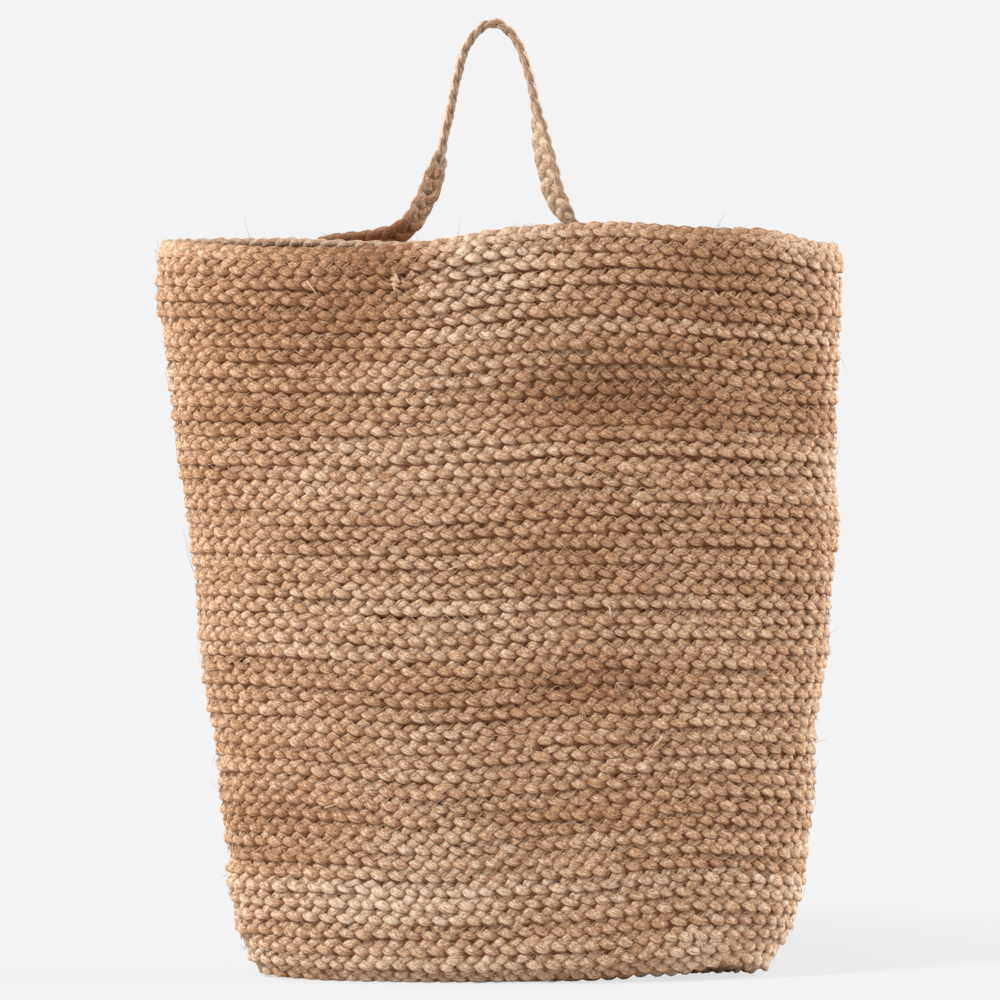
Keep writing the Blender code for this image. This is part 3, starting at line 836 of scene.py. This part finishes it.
def seam_thread(name, first, last, seed):
    """A zigzag over the seam above each turn, from deep under its edge to the turn's middle."""
    along, rounds, run = seam_places(first, last, ZIGZAG_LENGTH / ZIGZAG_STATIONS)
    phase = along / ZIGZAG_LENGTH + 0.20 * wander(along, 0.03, seed)
    swing = 2 * np.abs(phase % 1.0 - 0.5)
    turn = coil_turn_at(rounds) - 0.10 + 0.52 * swing + 0.05 * wander(along, 0.02, seed + 1)
    out = 3.3 - 2.5 * swing + 0.55 * wander(along, 0.05, seed + 2)
    out = out + 0.3 * wander(along, 0.006, seed + 3)
    out = np.where(turn < WALL_START, out - 1.2, out) * MM
    line = basket_surface(turn, run, 0.0) + out[:, None] * surface_frame(turn, run)[2]
    line[:, 2] = np.maximum(line[:, 2], THREAD_THICKNESS)
    tone = 0.06 * wander(along, 0.03, seed + 4) - 0.02
    # Painted shade on the thread where it dives into the seam
    tube = round_tube(line, THREAD_THICKNESS / 2, THREAD_SIDES, tone, 0.35 * swing, along)
    thread = tubes_object(name, [tube], SEWING_THREAD)
    belongs(thread, "basket", "sewing_thread")


seam_thread("seam_thread_low", WALL_START - 2, 31, 41)
seam_thread("seam_thread_high", 31, LAST_TURN - 1.02, 51)

# %% [markdown]
# ## The handle
# The handle is a plait of its own, 15 mm wide and 6 mm thick. Its ends lie on edge against the
# back of the rim, it shows its face on the way up, and it twists a quarter turn so that the
# crown stands edge on. The route is the one that the solids were planned with. The loop swings
# on the basket, so the plait is made in two halves that each turn smoothly at the foot.

# %% Route of the handle
HANDLE_THICKNESS = 6 * MM
HANDLE_RISE = 130.3 * MM
LEFT_FOOT_X = -61.5 * MM
RIGHT_FOOT_X = 48 * MM
HANDLE_FOOT_LIFT = 8.8 * MM
PIVOT_CLEARANCE = 1.8 * MM
SEAM_GAP = 0.3 * MM
LEFT_END_LENGTH = 58.5 * MM
RIGHT_END_LENGTH = 50 * MM
END_DROP = 8.5 * MM
END_DROP_REACH_SHARE = 0.175
END_SLOPE_DROP = 6.5 * MM
LEFT_TWIST_SHARES = (0.115, 0.205)
RIGHT_TWIST_SHARES = (0.155, 0.310)
# Across and up, from the left foot: shares of the distance between the feet and of the rise
HANDLE_PATH_SHARES = (
    (0.000, 0.000),
    (0.056, 0.044),
    (0.090, 0.083),
    (0.120, 0.123),
    (0.140, 0.162),
    (0.167, 0.240),
    (0.196, 0.319),
    (0.219, 0.397),
    (0.267, 0.554),
    (0.304, 0.711),
    (0.357, 0.868),
    (0.416, 0.946),
    (0.468, 0.985),
    (0.521, 1.000),
    (0.579, 0.985),
    (0.629, 0.946),
    (0.685, 0.868),
    (0.743, 0.711),
    (0.778, 0.554),
    (0.807, 0.397),
    (0.851, 0.240),
    (0.878, 0.162),
    (0.921, 0.083),
    (1.000, 0.000),
)


def back_of_wall(x):
    """Y of the middle of the back wall at the rim: depth (1 - |x / width|^n)^(1/n)."""
    across = np.abs(x) / (RIM_WIDTH / 2 - HALF_WALL)
    return (RIM_DEPTH / 2 - HALF_WALL) * (1 - across**OVAL_POWER) ** (1 / OVAL_POWER)


PIVOT_Z = BASKET_HEIGHT + BACK_LIFT + HANDLE_FOOT_LIFT
NEAREST_BACK = max(back_of_wall(LEFT_FOOT_X), back_of_wall(RIGHT_FOOT_X))
PIVOT_Y = NEAREST_BACK + HALF_WALL + HANDLE_THICKNESS / 2 + PIVOT_CLEARANCE


def smooth_route(points, steps):
    """A Catmull-Rom curve: at each point it runs as the line between its two neighbours."""
    points = np.asarray(points, float)
    padded = np.vstack([2 * points[0] - points[1], points, 2 * points[-1] - points[-2]])
    a, b, c, d = (padded[place : place + len(points) - 1, None, :] for place in range(4))
    s = (np.arange(steps) / steps)[None, :, None]
    curve = 2 * b + (c - a) * s + (2 * a - 5 * b + 4 * c - d) * s**2
    curve = 0.5 * (curve + (3 * b - a - 3 * c + d) * s**3)
    return np.vstack([curve.reshape(-1, 3), points[-1]])


def end_route(foot_x, length, side):
    """From a foot out along the back of the rim: it falls fast, then slowly, and nestles in."""
    shares = np.linspace(0, 1, 40)
    x = foot_x + side * length * shares
    beside = back_of_wall(x) + HALF_WALL + HANDLE_THICKNESS / 2 + SEAM_GAP
    near_pivot = (1 - shares) ** 2
    y = near_pivot * PIVOT_Y + (1 - near_pivot) * beside
    fall = END_DROP * (1 - np.exp(-shares / END_DROP_REACH_SHARE)) + END_SLOPE_DROP * shares
    return np.column_stack([x, y, PIVOT_Z - fall])


loop_points = [
    (
        LEFT_FOOT_X + (RIGHT_FOOT_X - LEFT_FOOT_X) * across,
        PIVOT_Y,
        PIVOT_Z + HANDLE_RISE * up,
    )
    for across, up in HANDLE_PATH_SHARES
]
loop_route = smooth_route(loop_points, 8)
left_route = end_route(LEFT_FOOT_X, LEFT_END_LENGTH, -1)
right_route = end_route(RIGHT_FOOT_X, RIGHT_END_LENGTH, 1)
whole_route = np.vstack([right_route[::-1], loop_route[-2:0:-1], left_route])
HANDLE_ROUND = 31 * MM
route_length = line_length(whole_route)
handle_along = np.arange(0, route_length[-1], HANDLE_ROUND / STATIONS_PER_ROUND)
handle_line = np.column_stack(
    [np.interp(handle_along, route_length, whole_route[:, axis]) for axis in range(3)]
)
loop_length = line_length(loop_route)[-1]
right_length = line_length(right_route)[-1]
print(f"handle plait {route_length[-1] / MM:.0f} mm, loop {loop_length / MM:.0f} mm")

# %% Twist and plait of the handle
HANDLE_LEAN_ANGLE = math.radians(30)
SEWN_LEAN_ANGLE = math.radians(18)
SEWN_REACH = 18 * MM
SEWN_PRESS = 2.0 * MM
from_right = (handle_along - right_length) / loop_length
right_start, right_stop = RIGHT_TWIST_SHARES
left_start, left_stop = LEFT_TWIST_SHARES
right_turned = (from_right - right_start) / (right_stop - right_start)
left_turned = (1 - from_right - left_start) / (left_stop - left_start)
turned = ease(np.minimum(left_turned, right_turned))
beyond_foot = np.maximum(right_length - handle_along, handle_along - right_length - loop_length)
sewn = ease(beyond_foot / SEWN_REACH)
handle_lean = HANDLE_LEAN_ANGLE + (SEWN_LEAN_ANGLE - HANDLE_LEAN_ANGLE) * sewn
handle_twist = (handle_lean + (math.pi / 2 - HANDLE_LEAN_ANGLE) * turned)[:, None]
smooth_line = handle_line.copy()
for _ in range(3):
    smooth_line[1:-1] = (smooth_line[:-2] + 2 * smooth_line[1:-1] + smooth_line[2:]) / 4
handle_way = unit(np.gradient(smooth_line, axis=0))
behind_way = np.array([[0.0, 1.0, 0.0]])
wide_way = unit(np.cross(handle_way, behind_way))
flat_way = np.cross(wide_way, handle_way)
handle_across = np.cos(handle_twist) * wide_way + np.sin(handle_twist) * flat_way
handle_through = np.cos(handle_twist) * flat_way - np.sin(handle_twist) * wide_way
HANDLE_PLAIT_WIDTH = 15.6 * MM
HANDLE_STRAND_WIDE = 7.2 * MM
HANDLE_STRAND_DEEP = 3.9 * MM
END_TAPER = 9 * MM
from_tip = np.minimum(handle_along, route_length[-1] - handle_along)
handle_fade = 0.45 + 0.55 * ease(from_tip / END_TAPER)
# At the right foot the strands are gathered
gathered = bell(smooth_line[:, 2] - PIVOT_Z, 1 * MM, 7 * MM) * (np.abs(from_right) < 0.2)
handle_fade = handle_fade * (1 - 0.5 * gathered)
handle_phase = 2 * math.pi * handle_along / HANDLE_ROUND + 0.15 * wander(handle_along, 0.05, 61)
handle_centre = smooth_line + 0.35 * MM * wander(handle_along, 0.03, 62)[:, None] * handle_across
# Sewing presses the ends into the rim
handle_centre[:, 1] -= SEWN_PRESS * sewn
# The soft left leg sags a little into the loop, at its foot and again above it
above_foot = smooth_line[:, 2] - PIVOT_Z
left_sag = 1.6 * MM * bell(above_foot, 38 * MM, 15 * MM)
left_sag = left_sag + 2.4 * MM * bell(above_foot, -1 * MM, 11 * MM)
handle_centre[:, 0] += left_sag * (from_right > 0.5) * (from_right < 1.05)
# Each end lies in the dark behind the front rim, so painted shade makes it browner below and
# towards the front
on_ends = 1 - ease((above_foot + 3 * MM) / (12 * MM))
# The left leg's face, turned from the key lamp, takes painted shade
left_face_shade = 0.45 * (1 - turned) * (from_right > 0.5)
handle_shade = np.maximum(on_ends, 0.35 * turned + 0.25 * (1 - turned) * (from_right > 0.5))
outer_way = -wide_way
lit_side = unit(outer_way + on_ends[:, None] * behind_way)
HANDLE_ROUTE = (handle_centre, handle_across, handle_through, handle_phase, handle_along)
HANDLE_LOOK = {
    "sway": (HANDLE_PLAIT_WIDTH - HANDLE_STRAND_WIDE) / 2,
    "square": 2.2,
    "depth": 1.15 * MM,
    "plump": 0.05,
    "early": 0.3,
    "uneven": 0.5,
    "strand_wide": HANDLE_STRAND_WIDE,
    "strand_deep": HANDLE_STRAND_DEEP,
    "fade": handle_fade,
    # Tone: painted shade on the left leg's face and on the ends
    "tone": 0.08 + 0.05 * turned - 0.14 * left_face_shade - 0.05 * on_ends,
    "painted_highlight": 0.015,
    "crease": (-0.6 * MM, 2.0 * MM),
    "deep_share": np.full_like(turned, 0.8),
    "outer_share": np.ones_like(turned),
    "lit_way": lit_side,
    "shade_span": (3.2 * MM, 3.6 * MM),
    "shade": handle_shade,
    "up": outer_way,
    "lit_above": (5.0 + 4.0 * (1 - turned)) * MM,
    "edge_lit": 1 - 0.5 * on_ends,
}


def handle_half(name, keep):
    """One half of the handle's plait, from its sewn end to the crown, as one object."""
    return tubes_object(name, plait_strands(HANDLE_ROUTE, keep, HANDLE_LOOK, 7), JUTE)


crown = int(np.argmax(smooth_line[:, 2]))
right_half = handle_half("plait_handle_right", slice(0, crown + 2))
left_half = handle_half("plait_handle_left", slice(crown, len(handle_along)))
for half, foot_x, side, nodes in (
    (right_half, RIGHT_FOOT_X, 1, ("handle_right_end",)),
    (left_half, LEFT_FOOT_X, -1, ("handle_left_end", "handle_loop")),
):
    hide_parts(*nodes)
    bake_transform(half)

# %% [markdown]
# ## Sewing of the handle's ends
# A thicker thread zigzags over each end and holds it to the rim.

# %% Zigzag stitches on the ends
STITCH_THICKNESS = 1.5 * MM
STITCH_SIDES = 8
STITCH_COUNT = 5
STITCH_REACH = 6.4 * MM
STITCH_SPAN_SHARES = (0.22, 0.86)


def read_along(values, places):
    """Rows of an array that runs with the handle's plait, read at any places along it."""
    columns = [np.interp(places, handle_along, values[:, axis]) for axis in range(3)]
    return np.column_stack(columns)


def end_stitches(name, foot, side, length, node):
    """A zigzag of thread on the back of an end: height swings as a rounded triangle wave.

    It lies on the plait at the middle of each swing and dives into the rim at both its turns.
    """
    low, high = STITCH_SPAN_SHARES
    share = np.linspace(low, high, 24 * STITCH_COUNT + 1)
    places = foot + side * length * share
    across, through = read_along(handle_across, places), read_along(handle_through, places)
    wave = (share - low) / (high - low) * STITCH_COUNT
    swing = 4 * np.abs((wave - 0.25) % 1.0 - 0.5) - 1
    reach = STITCH_REACH * np.tanh(1.6 * swing) / math.tanh(1.6)
    line = read_along(handle_centre, places) - reach[:, None] * across
    stand = HANDLE_THICKNESS / 2 + STITCH_THICKNESS * (0.45 - 1.9 * swing**6)
    line = line + stand[:, None] * through
    tone = 0.04 * wander(line_length(line), 0.01, 71)
    # Painted shade on the stitch where it dives into the rim
    tube = round_tube(line, STITCH_THICKNESS / 2, STITCH_SIDES, tone, 0.3 * swing**4)
    stitches = tubes_object(name, [tube], SEWING_THREAD)
    belongs(stitches, "basket", "sewing_thread", node)


left_foot = right_length + loop_length
left_length = route_length[-1] - left_foot
end_stitches("stitches_left", left_foot, 1, left_length, "handle_left_stitches")
end_stitches("stitches_right", right_length, -1, right_length, "handle_right_stitches")

# %% [markdown]
# ## Knot and loose ends
# Where one length of plait was joined to the next, its strands end in a small tight knot with
# frayed tips. Jute also sheds: short stiff fibres stand off the plait everywhere, and a few
# straws have worked loose. Each fibre is a thin tube with three to five sides.

# %% A place on the front, from shares across and up
def front_point(across, up, outward):
    """A point on the front wall, with the directions along, up and outward there."""
    front = (OVAL_RUN > 0.2) & (OVAL_RUN < 0.8)
    run = np.interp(across, OVAL_ACROSS[front], OVAL_RUN[front])
    turn = WALL_START + (up * BASKET_HEIGHT - WALL_FOOT) / TURN_HEIGHT
    turn, run = np.atleast_1d(turn), np.atleast_1d(run)
    along, upward, out = surface_frame(turn, run)
    return (basket_surface(turn, run, 0.0) + outward * out)[0], along[0], upward[0], out[0]


def free_fibre(start, directions, radius, tone, sides=3):
    """A tapering fibre: start plus s, s^2 and s^3 times three directions, thin at its tip."""
    s = np.linspace(0, 1, 5)[:, None]
    line = start + s * directions[0] + s**2 * directions[1] + s**3 * directions[2]
    line[:, 2] = radius + on_floor(line[:, 2] - radius)
    along = line_length(line) + 0.013 * abs(start[0]) / MM
    return round_tube(line, radius * (1 - 0.75 * s[:, 0] ** 2), sides, tone, 0.0, along)


# %% The knot
KNOT_ACROSS_SHARE = -0.303
KNOT_UP_SHARE = 0.946
KNOT_STAND = HALF_WALL + 1.6 * MM
KNOT_HEIGHT = 10 * MM
KNOT_STRAND = 2.6 * MM
FRAY_COUNT = 60
FRAY_RADIUS = 0.22 * MM


def knot_tubes():
    """An upright strand with a second one wound round it, and a fan of frayed fibres."""
    centre, along, upward, out = front_point(KNOT_ACROSS_SHARE, KNOT_UP_SHARE, KNOT_STAND)
    s = np.linspace(-1, 1, 20)[:, None]
    core = centre + s * KNOT_HEIGHT / 2 * upward + 0.8 * MM * np.sin(3 * s) * along
    core_radius = KNOT_STRAND / 2 * (1.15 - 0.55 * s[:, 0] ** 2)
    t = np.linspace(0, 1, 48)[:, None]
    turn = 2 * math.pi * 1.8 * t
    wrap = centre + (t - 0.5) * 5.6 * MM * upward
    wrap = wrap + 1.9 * MM * np.cos(turn) * along + 1.35 * MM * np.sin(turn) * out
    wrap_radius = 1.05 * MM * (1 - 0.5 * (2 * t[:, 0] - 1) ** 4)
    tubes = [
        round_tube(line, radius, 10, 0.06 * wander(line_length(line), 0.003, 81))
        for line, radius in ((core, core_radius), (wrap, wrap_radius))
    ]
    chance = np.random.default_rng(82)
    for place in range(FRAY_COUNT):
        side = 1 if place % 2 else -1
        start = centre + side * KNOT_HEIGHT * 0.42 * upward + chance.normal(size=3) * 0.5 * MM
        reach = side * chance.uniform(2, 6) * MM * upward
        reach = reach + chance.normal() * 2.8 * MM * along + chance.uniform(-0.4, 1.4) * MM * out
        bend = chance.normal() * 1.6 * MM * along - 0.8 * MM * out
        tone = chance.normal() * 0.05
        tubes.append(free_fibre(start, (reach, bend, 0 * out), FRAY_RADIUS, tone))
    return tubes


knot = tubes_object("knot_frayed", knot_tubes(), SEWING_THREAD)
belongs(knot, "basket", "jute_plait", "join_knot")

# %% Straws that have worked loose
# Across, up, reach along, reach up: shares, then millimetres
STRAWS = (
    (-0.561, 0.951, 10.0, -10.5),
    (-0.925, 0.968, 5.2, -4.4),
    (0.640, 0.060, 9.5, -15.0),
    (0.700, 0.655, 6.0, -4.0),
    (0.300, 0.505, 3.0, -8.0),
    (-0.200, 0.560, 7.0, 2.5),
    (0.480, 0.330, -5.0, -7.0),
    (-0.640, 0.240, 8.0, 3.0),
)
STRAW_RADIUS = 0.55 * MM
FRAYED_RADIUS = 0.26 * MM
straw_tubes = []
for across, up, reach_along, reach_up in STRAWS:
    start, along, upward, out = front_point(across, up, HALF_WALL + 1.4 * MM)
    reach = reach_along * MM * along + reach_up * MM * upward + 1.6 * MM * out
    bend = 0.25 * reach_up * MM * along - 1.4 * MM * out
    straw_tubes.append(free_fibre(start, (reach, bend, 0 * out), STRAW_RADIUS, 0.1, 5))
# Across, up, fibres, heading and spread in degrees, reach in mm: a strand's end that has frayed
FRAYED_ENDS = (
    (0.218, 0.372, 4, -88, 13, 10.5),
    (0.330, 0.404, 9, -35, 38, 11.0),
    (0.352, 0.345, 5, -75, 30, 6.0),
    (-0.200, 0.735, 5, 30, 40, 7.0),
    (0.050, 0.325, 5, -140, 35, 6.0),
)
chance = np.random.default_rng(85)
for across, up, count, heading, spread, reach in FRAYED_ENDS:
    start, along, upward, out = front_point(across, up, HALF_WALL + 1.2 * MM)
    for _ in range(count):
        turned_by = math.radians(heading + spread * chance.normal())
        way = math.cos(turned_by) * along + math.sin(turned_by) * upward
        far = reach * chance.uniform(0.6, 1.1) * MM
        bend = chance.normal() * 0.12 * far * along - 0.6 * MM * out
        tip = (far * way + chance.uniform(0.4, 1.4) * MM * out, bend, 0 * out)
        straw_tubes.append(free_fibre(start, tip, FRAYED_RADIUS, 0.04 * chance.normal(), 4))
straws = tubes_object("straws_loose", straw_tubes, LOOSE_FIBRE)
belongs(straws, "basket", "jute_plait")

# %% Fuzz of short fibres
FUZZ_COUNT = 5200
FUZZ_RADIUS = 0.17 * MM
chance = np.random.default_rng(91)
fuzz_rounds = chance.uniform(BASE_TURNS + 1, LAST_TURN, FUZZ_COUNT)
fuzz_turn = coil_turn_at(fuzz_rounds) + chance.uniform(-0.35, 0.35, FUZZ_COUNT)
fuzz_run = CLIMB_START_RUN + fuzz_rounds
fuzz_along, fuzz_up, fuzz_out = surface_frame(fuzz_turn, fuzz_run)
fuzz_start = basket_surface(fuzz_turn, fuzz_run, 0.0)
fuzz_start = fuzz_start + (chance.uniform(2.2, 3.9, FUZZ_COUNT) * MM)[:, None] * fuzz_out
fuzz_lengths = chance.gamma(3.0, 2.4, FUZZ_COUNT) * MM
heading = chance.normal(0, 0.9, FUZZ_COUNT) + math.pi * (chance.random(FUZZ_COUNT) < 0.5)
fuzz_reach = np.cos(heading)[:, None] * fuzz_along + np.sin(heading)[:, None] * fuzz_up
fuzz_reach = fuzz_reach + chance.uniform(-0.05, 0.55, (FUZZ_COUNT, 1)) * fuzz_out
fuzz_bend = chance.normal(0, 0.35, (FUZZ_COUNT, 1)) * fuzz_up
fuzz_bend = fuzz_bend - chance.uniform(0.1, 0.6, (FUZZ_COUNT, 1)) * fuzz_out
fuzz_wave = chance.normal(0, 0.22, (FUZZ_COUNT, 1)) * fuzz_along
fuzz_tones = chance.normal(0.0, 0.09, FUZZ_COUNT)
fuzz_tubes = [
    free_fibre(start, (length * reach, length * bend, length * wave), FUZZ_RADIUS, tone)
    for start, length, reach, bend, wave, tone in zip(
        fuzz_start, fuzz_lengths, fuzz_reach, fuzz_bend, fuzz_wave, fuzz_tones
    )
]
fuzz = tubes_object("fuzz_short_fibres", fuzz_tubes, LOOSE_FIBRE)
belongs(fuzz, "basket", "jute_plait")

# %% [markdown]
# ## Stage, light and camera
# A plain pale room: a floor, a soft even sky, one broad lamp above and to the left in front, and
# one beside each flank that brightens the sides. The lens is long, as in catalogue photographs,
# so the sides hardly converge. The floor shows the background's own colour away from the basket
# and keeps the basket's soft shadow near it.

# %% Floor and sky
BACKGROUND = "#F3F3F3"


def seen_share(tree, kinds):
    """1 for the kinds of ray that show the background, else 0: the largest of their values."""
    path = add_node(tree, "LightPath")
    seen = path.outputs[kinds[0]]
    for kind in kinds[1:]:
        larger = add_node(tree, "Math", {"operation": "MAXIMUM"}, {0: seen, 1: path.outputs[kind]})
        seen = larger.outputs["Value"]
    return seen


def stage_material():
    """Matt pale board that the camera sees in the background's colour, more so farther out."""
    material = bpy.data.materials.new("board_matt_painted")
    material.use_nodes = True
    tree = material.node_tree
    tree.nodes.clear()
    paint = add_node(tree, "BsdfDiffuse", {}, {"Color": srgb("#E8E8E8")})
    glow = add_node(tree, "Emission", {}, {"Color": srgb(BACKGROUND), "Strength": 1.0})
    seen = seen_share(tree, ("Is Camera Ray", "Is Glossy Ray"))
    place = add_node(tree, "TexCoord")
    away = add_node(tree, "VectorMath", {"operation": "LENGTH"}, {0: place.outputs["Object"]})
    span = {"From Min": 0.25, "From Max": 0.75, "To Min": 0.80, "To Max": 1.0}
    span["Value"] = away.outputs["Value"]
    far = add_node(tree, "MapRange", {"interpolation_type": "SMOOTHSTEP"}, span)
    part = add_node(tree, "Math", {"operation": "MULTIPLY"}, {0: seen, 1: far.outputs["Result"]})
    both = {0: part.outputs["Value"], 1: paint.outputs["BSDF"], 2: glow.outputs["Emission"]}
    mix = add_node(tree, "MixShader", {}, both)
    add_node(tree, "OutputMaterial", {}, {"Surface": mix.outputs["Shader"]})
    return material


def make_floor(size):
    """A square board, twice the size across, with its top at 0."""
    mesh = bpy.data.meshes.new("floor")
    corners = [(-size, -size, 0), (size, -size, 0), (size, size, 0), (-size, size, 0)]
    mesh.from_pydata(corners, [], [(0, 1, 2, 3)])
    mesh.materials.append(stage_material())
    floor = bpy.data.objects.new("floor", mesh)
    bpy.context.collection.objects.link(floor)


def make_sky(strength):
    """Even pale light, which the camera sees as the background's own colour."""
    world = bpy.data.worlds.new("studio")
    bpy.context.scene.world = world
    world.use_nodes = True
    tree = world.node_tree
    tree.nodes.clear()
    light = add_node(tree, "Background", {}, {"Color": srgb("#FFFFFF"), "Strength": strength})
    shown = add_node(tree, "Background", {}, {"Color": srgb(BACKGROUND), "Strength": 1.0})
    seen = seen_share(tree, ("Is Camera Ray", "Is Glossy Ray", "Is Transmission Ray"))
    both = {0: seen, 1: light.outputs["Background"], 2: shown.outputs["Background"]}
    mix = add_node(tree, "MixShader", {}, both)
    add_node(tree, "OutputWorld", {}, {"Surface": mix.outputs["Shader"]})


make_floor(size=6.0)
make_sky(strength=0.25)
print("stage set")


# %% Lamps
def area_lamp(name, place, target, size, power):
    """A square soft box at a place, turned to face its target."""
    data = bpy.data.lights.new(name, "AREA")
    data.shape = "SQUARE"
    data.size = size
    data.energy = power
    lamp = bpy.data.objects.new(name, data)
    bpy.context.collection.objects.link(lamp)
    lamp.location = place
    lamp.rotation_euler = (Vector(target) - Vector(place)).to_track_quat("-Z", "Y").to_euler()


MIDDLE = (0.0, 0.0, 0.28)
area_lamp("lamp_key", (-1.35, -1.40, 2.0), MIDDLE, 0.5, 54.5)
area_lamp("lamp_left", (-2.0, 0.15, 0.8), MIDDLE, 1.0, 15.0)
area_lamp("lamp_right", (2.0, 0.15, 0.8), MIDDLE, 1.0, 39.0)
print("lamps set")

# %% Camera
CAMERA_DISTANCE = 3.0
CAMERA_HEIGHT = 296.8 * MM
METRES_PER_PIXEL = 0.625 * MM
IMAGE_SIZE = 1000
camera_data = bpy.data.cameras.new("camera")
camera_data.sensor_width = 36.0
camera_data.lens = 36.0 * CAMERA_DISTANCE / METRES_PER_PIXEL / IMAGE_SIZE
camera = bpy.data.objects.new("camera", camera_data)
bpy.context.collection.objects.link(camera)
camera.location = (0.0, -CAMERA_DISTANCE, CAMERA_HEIGHT)
camera.rotation_euler = (math.pi / 2, 0.0, 0.0)
bpy.context.scene.camera = camera
bpy.context.scene.view_settings.view_transform = "Standard"
print("camera set")
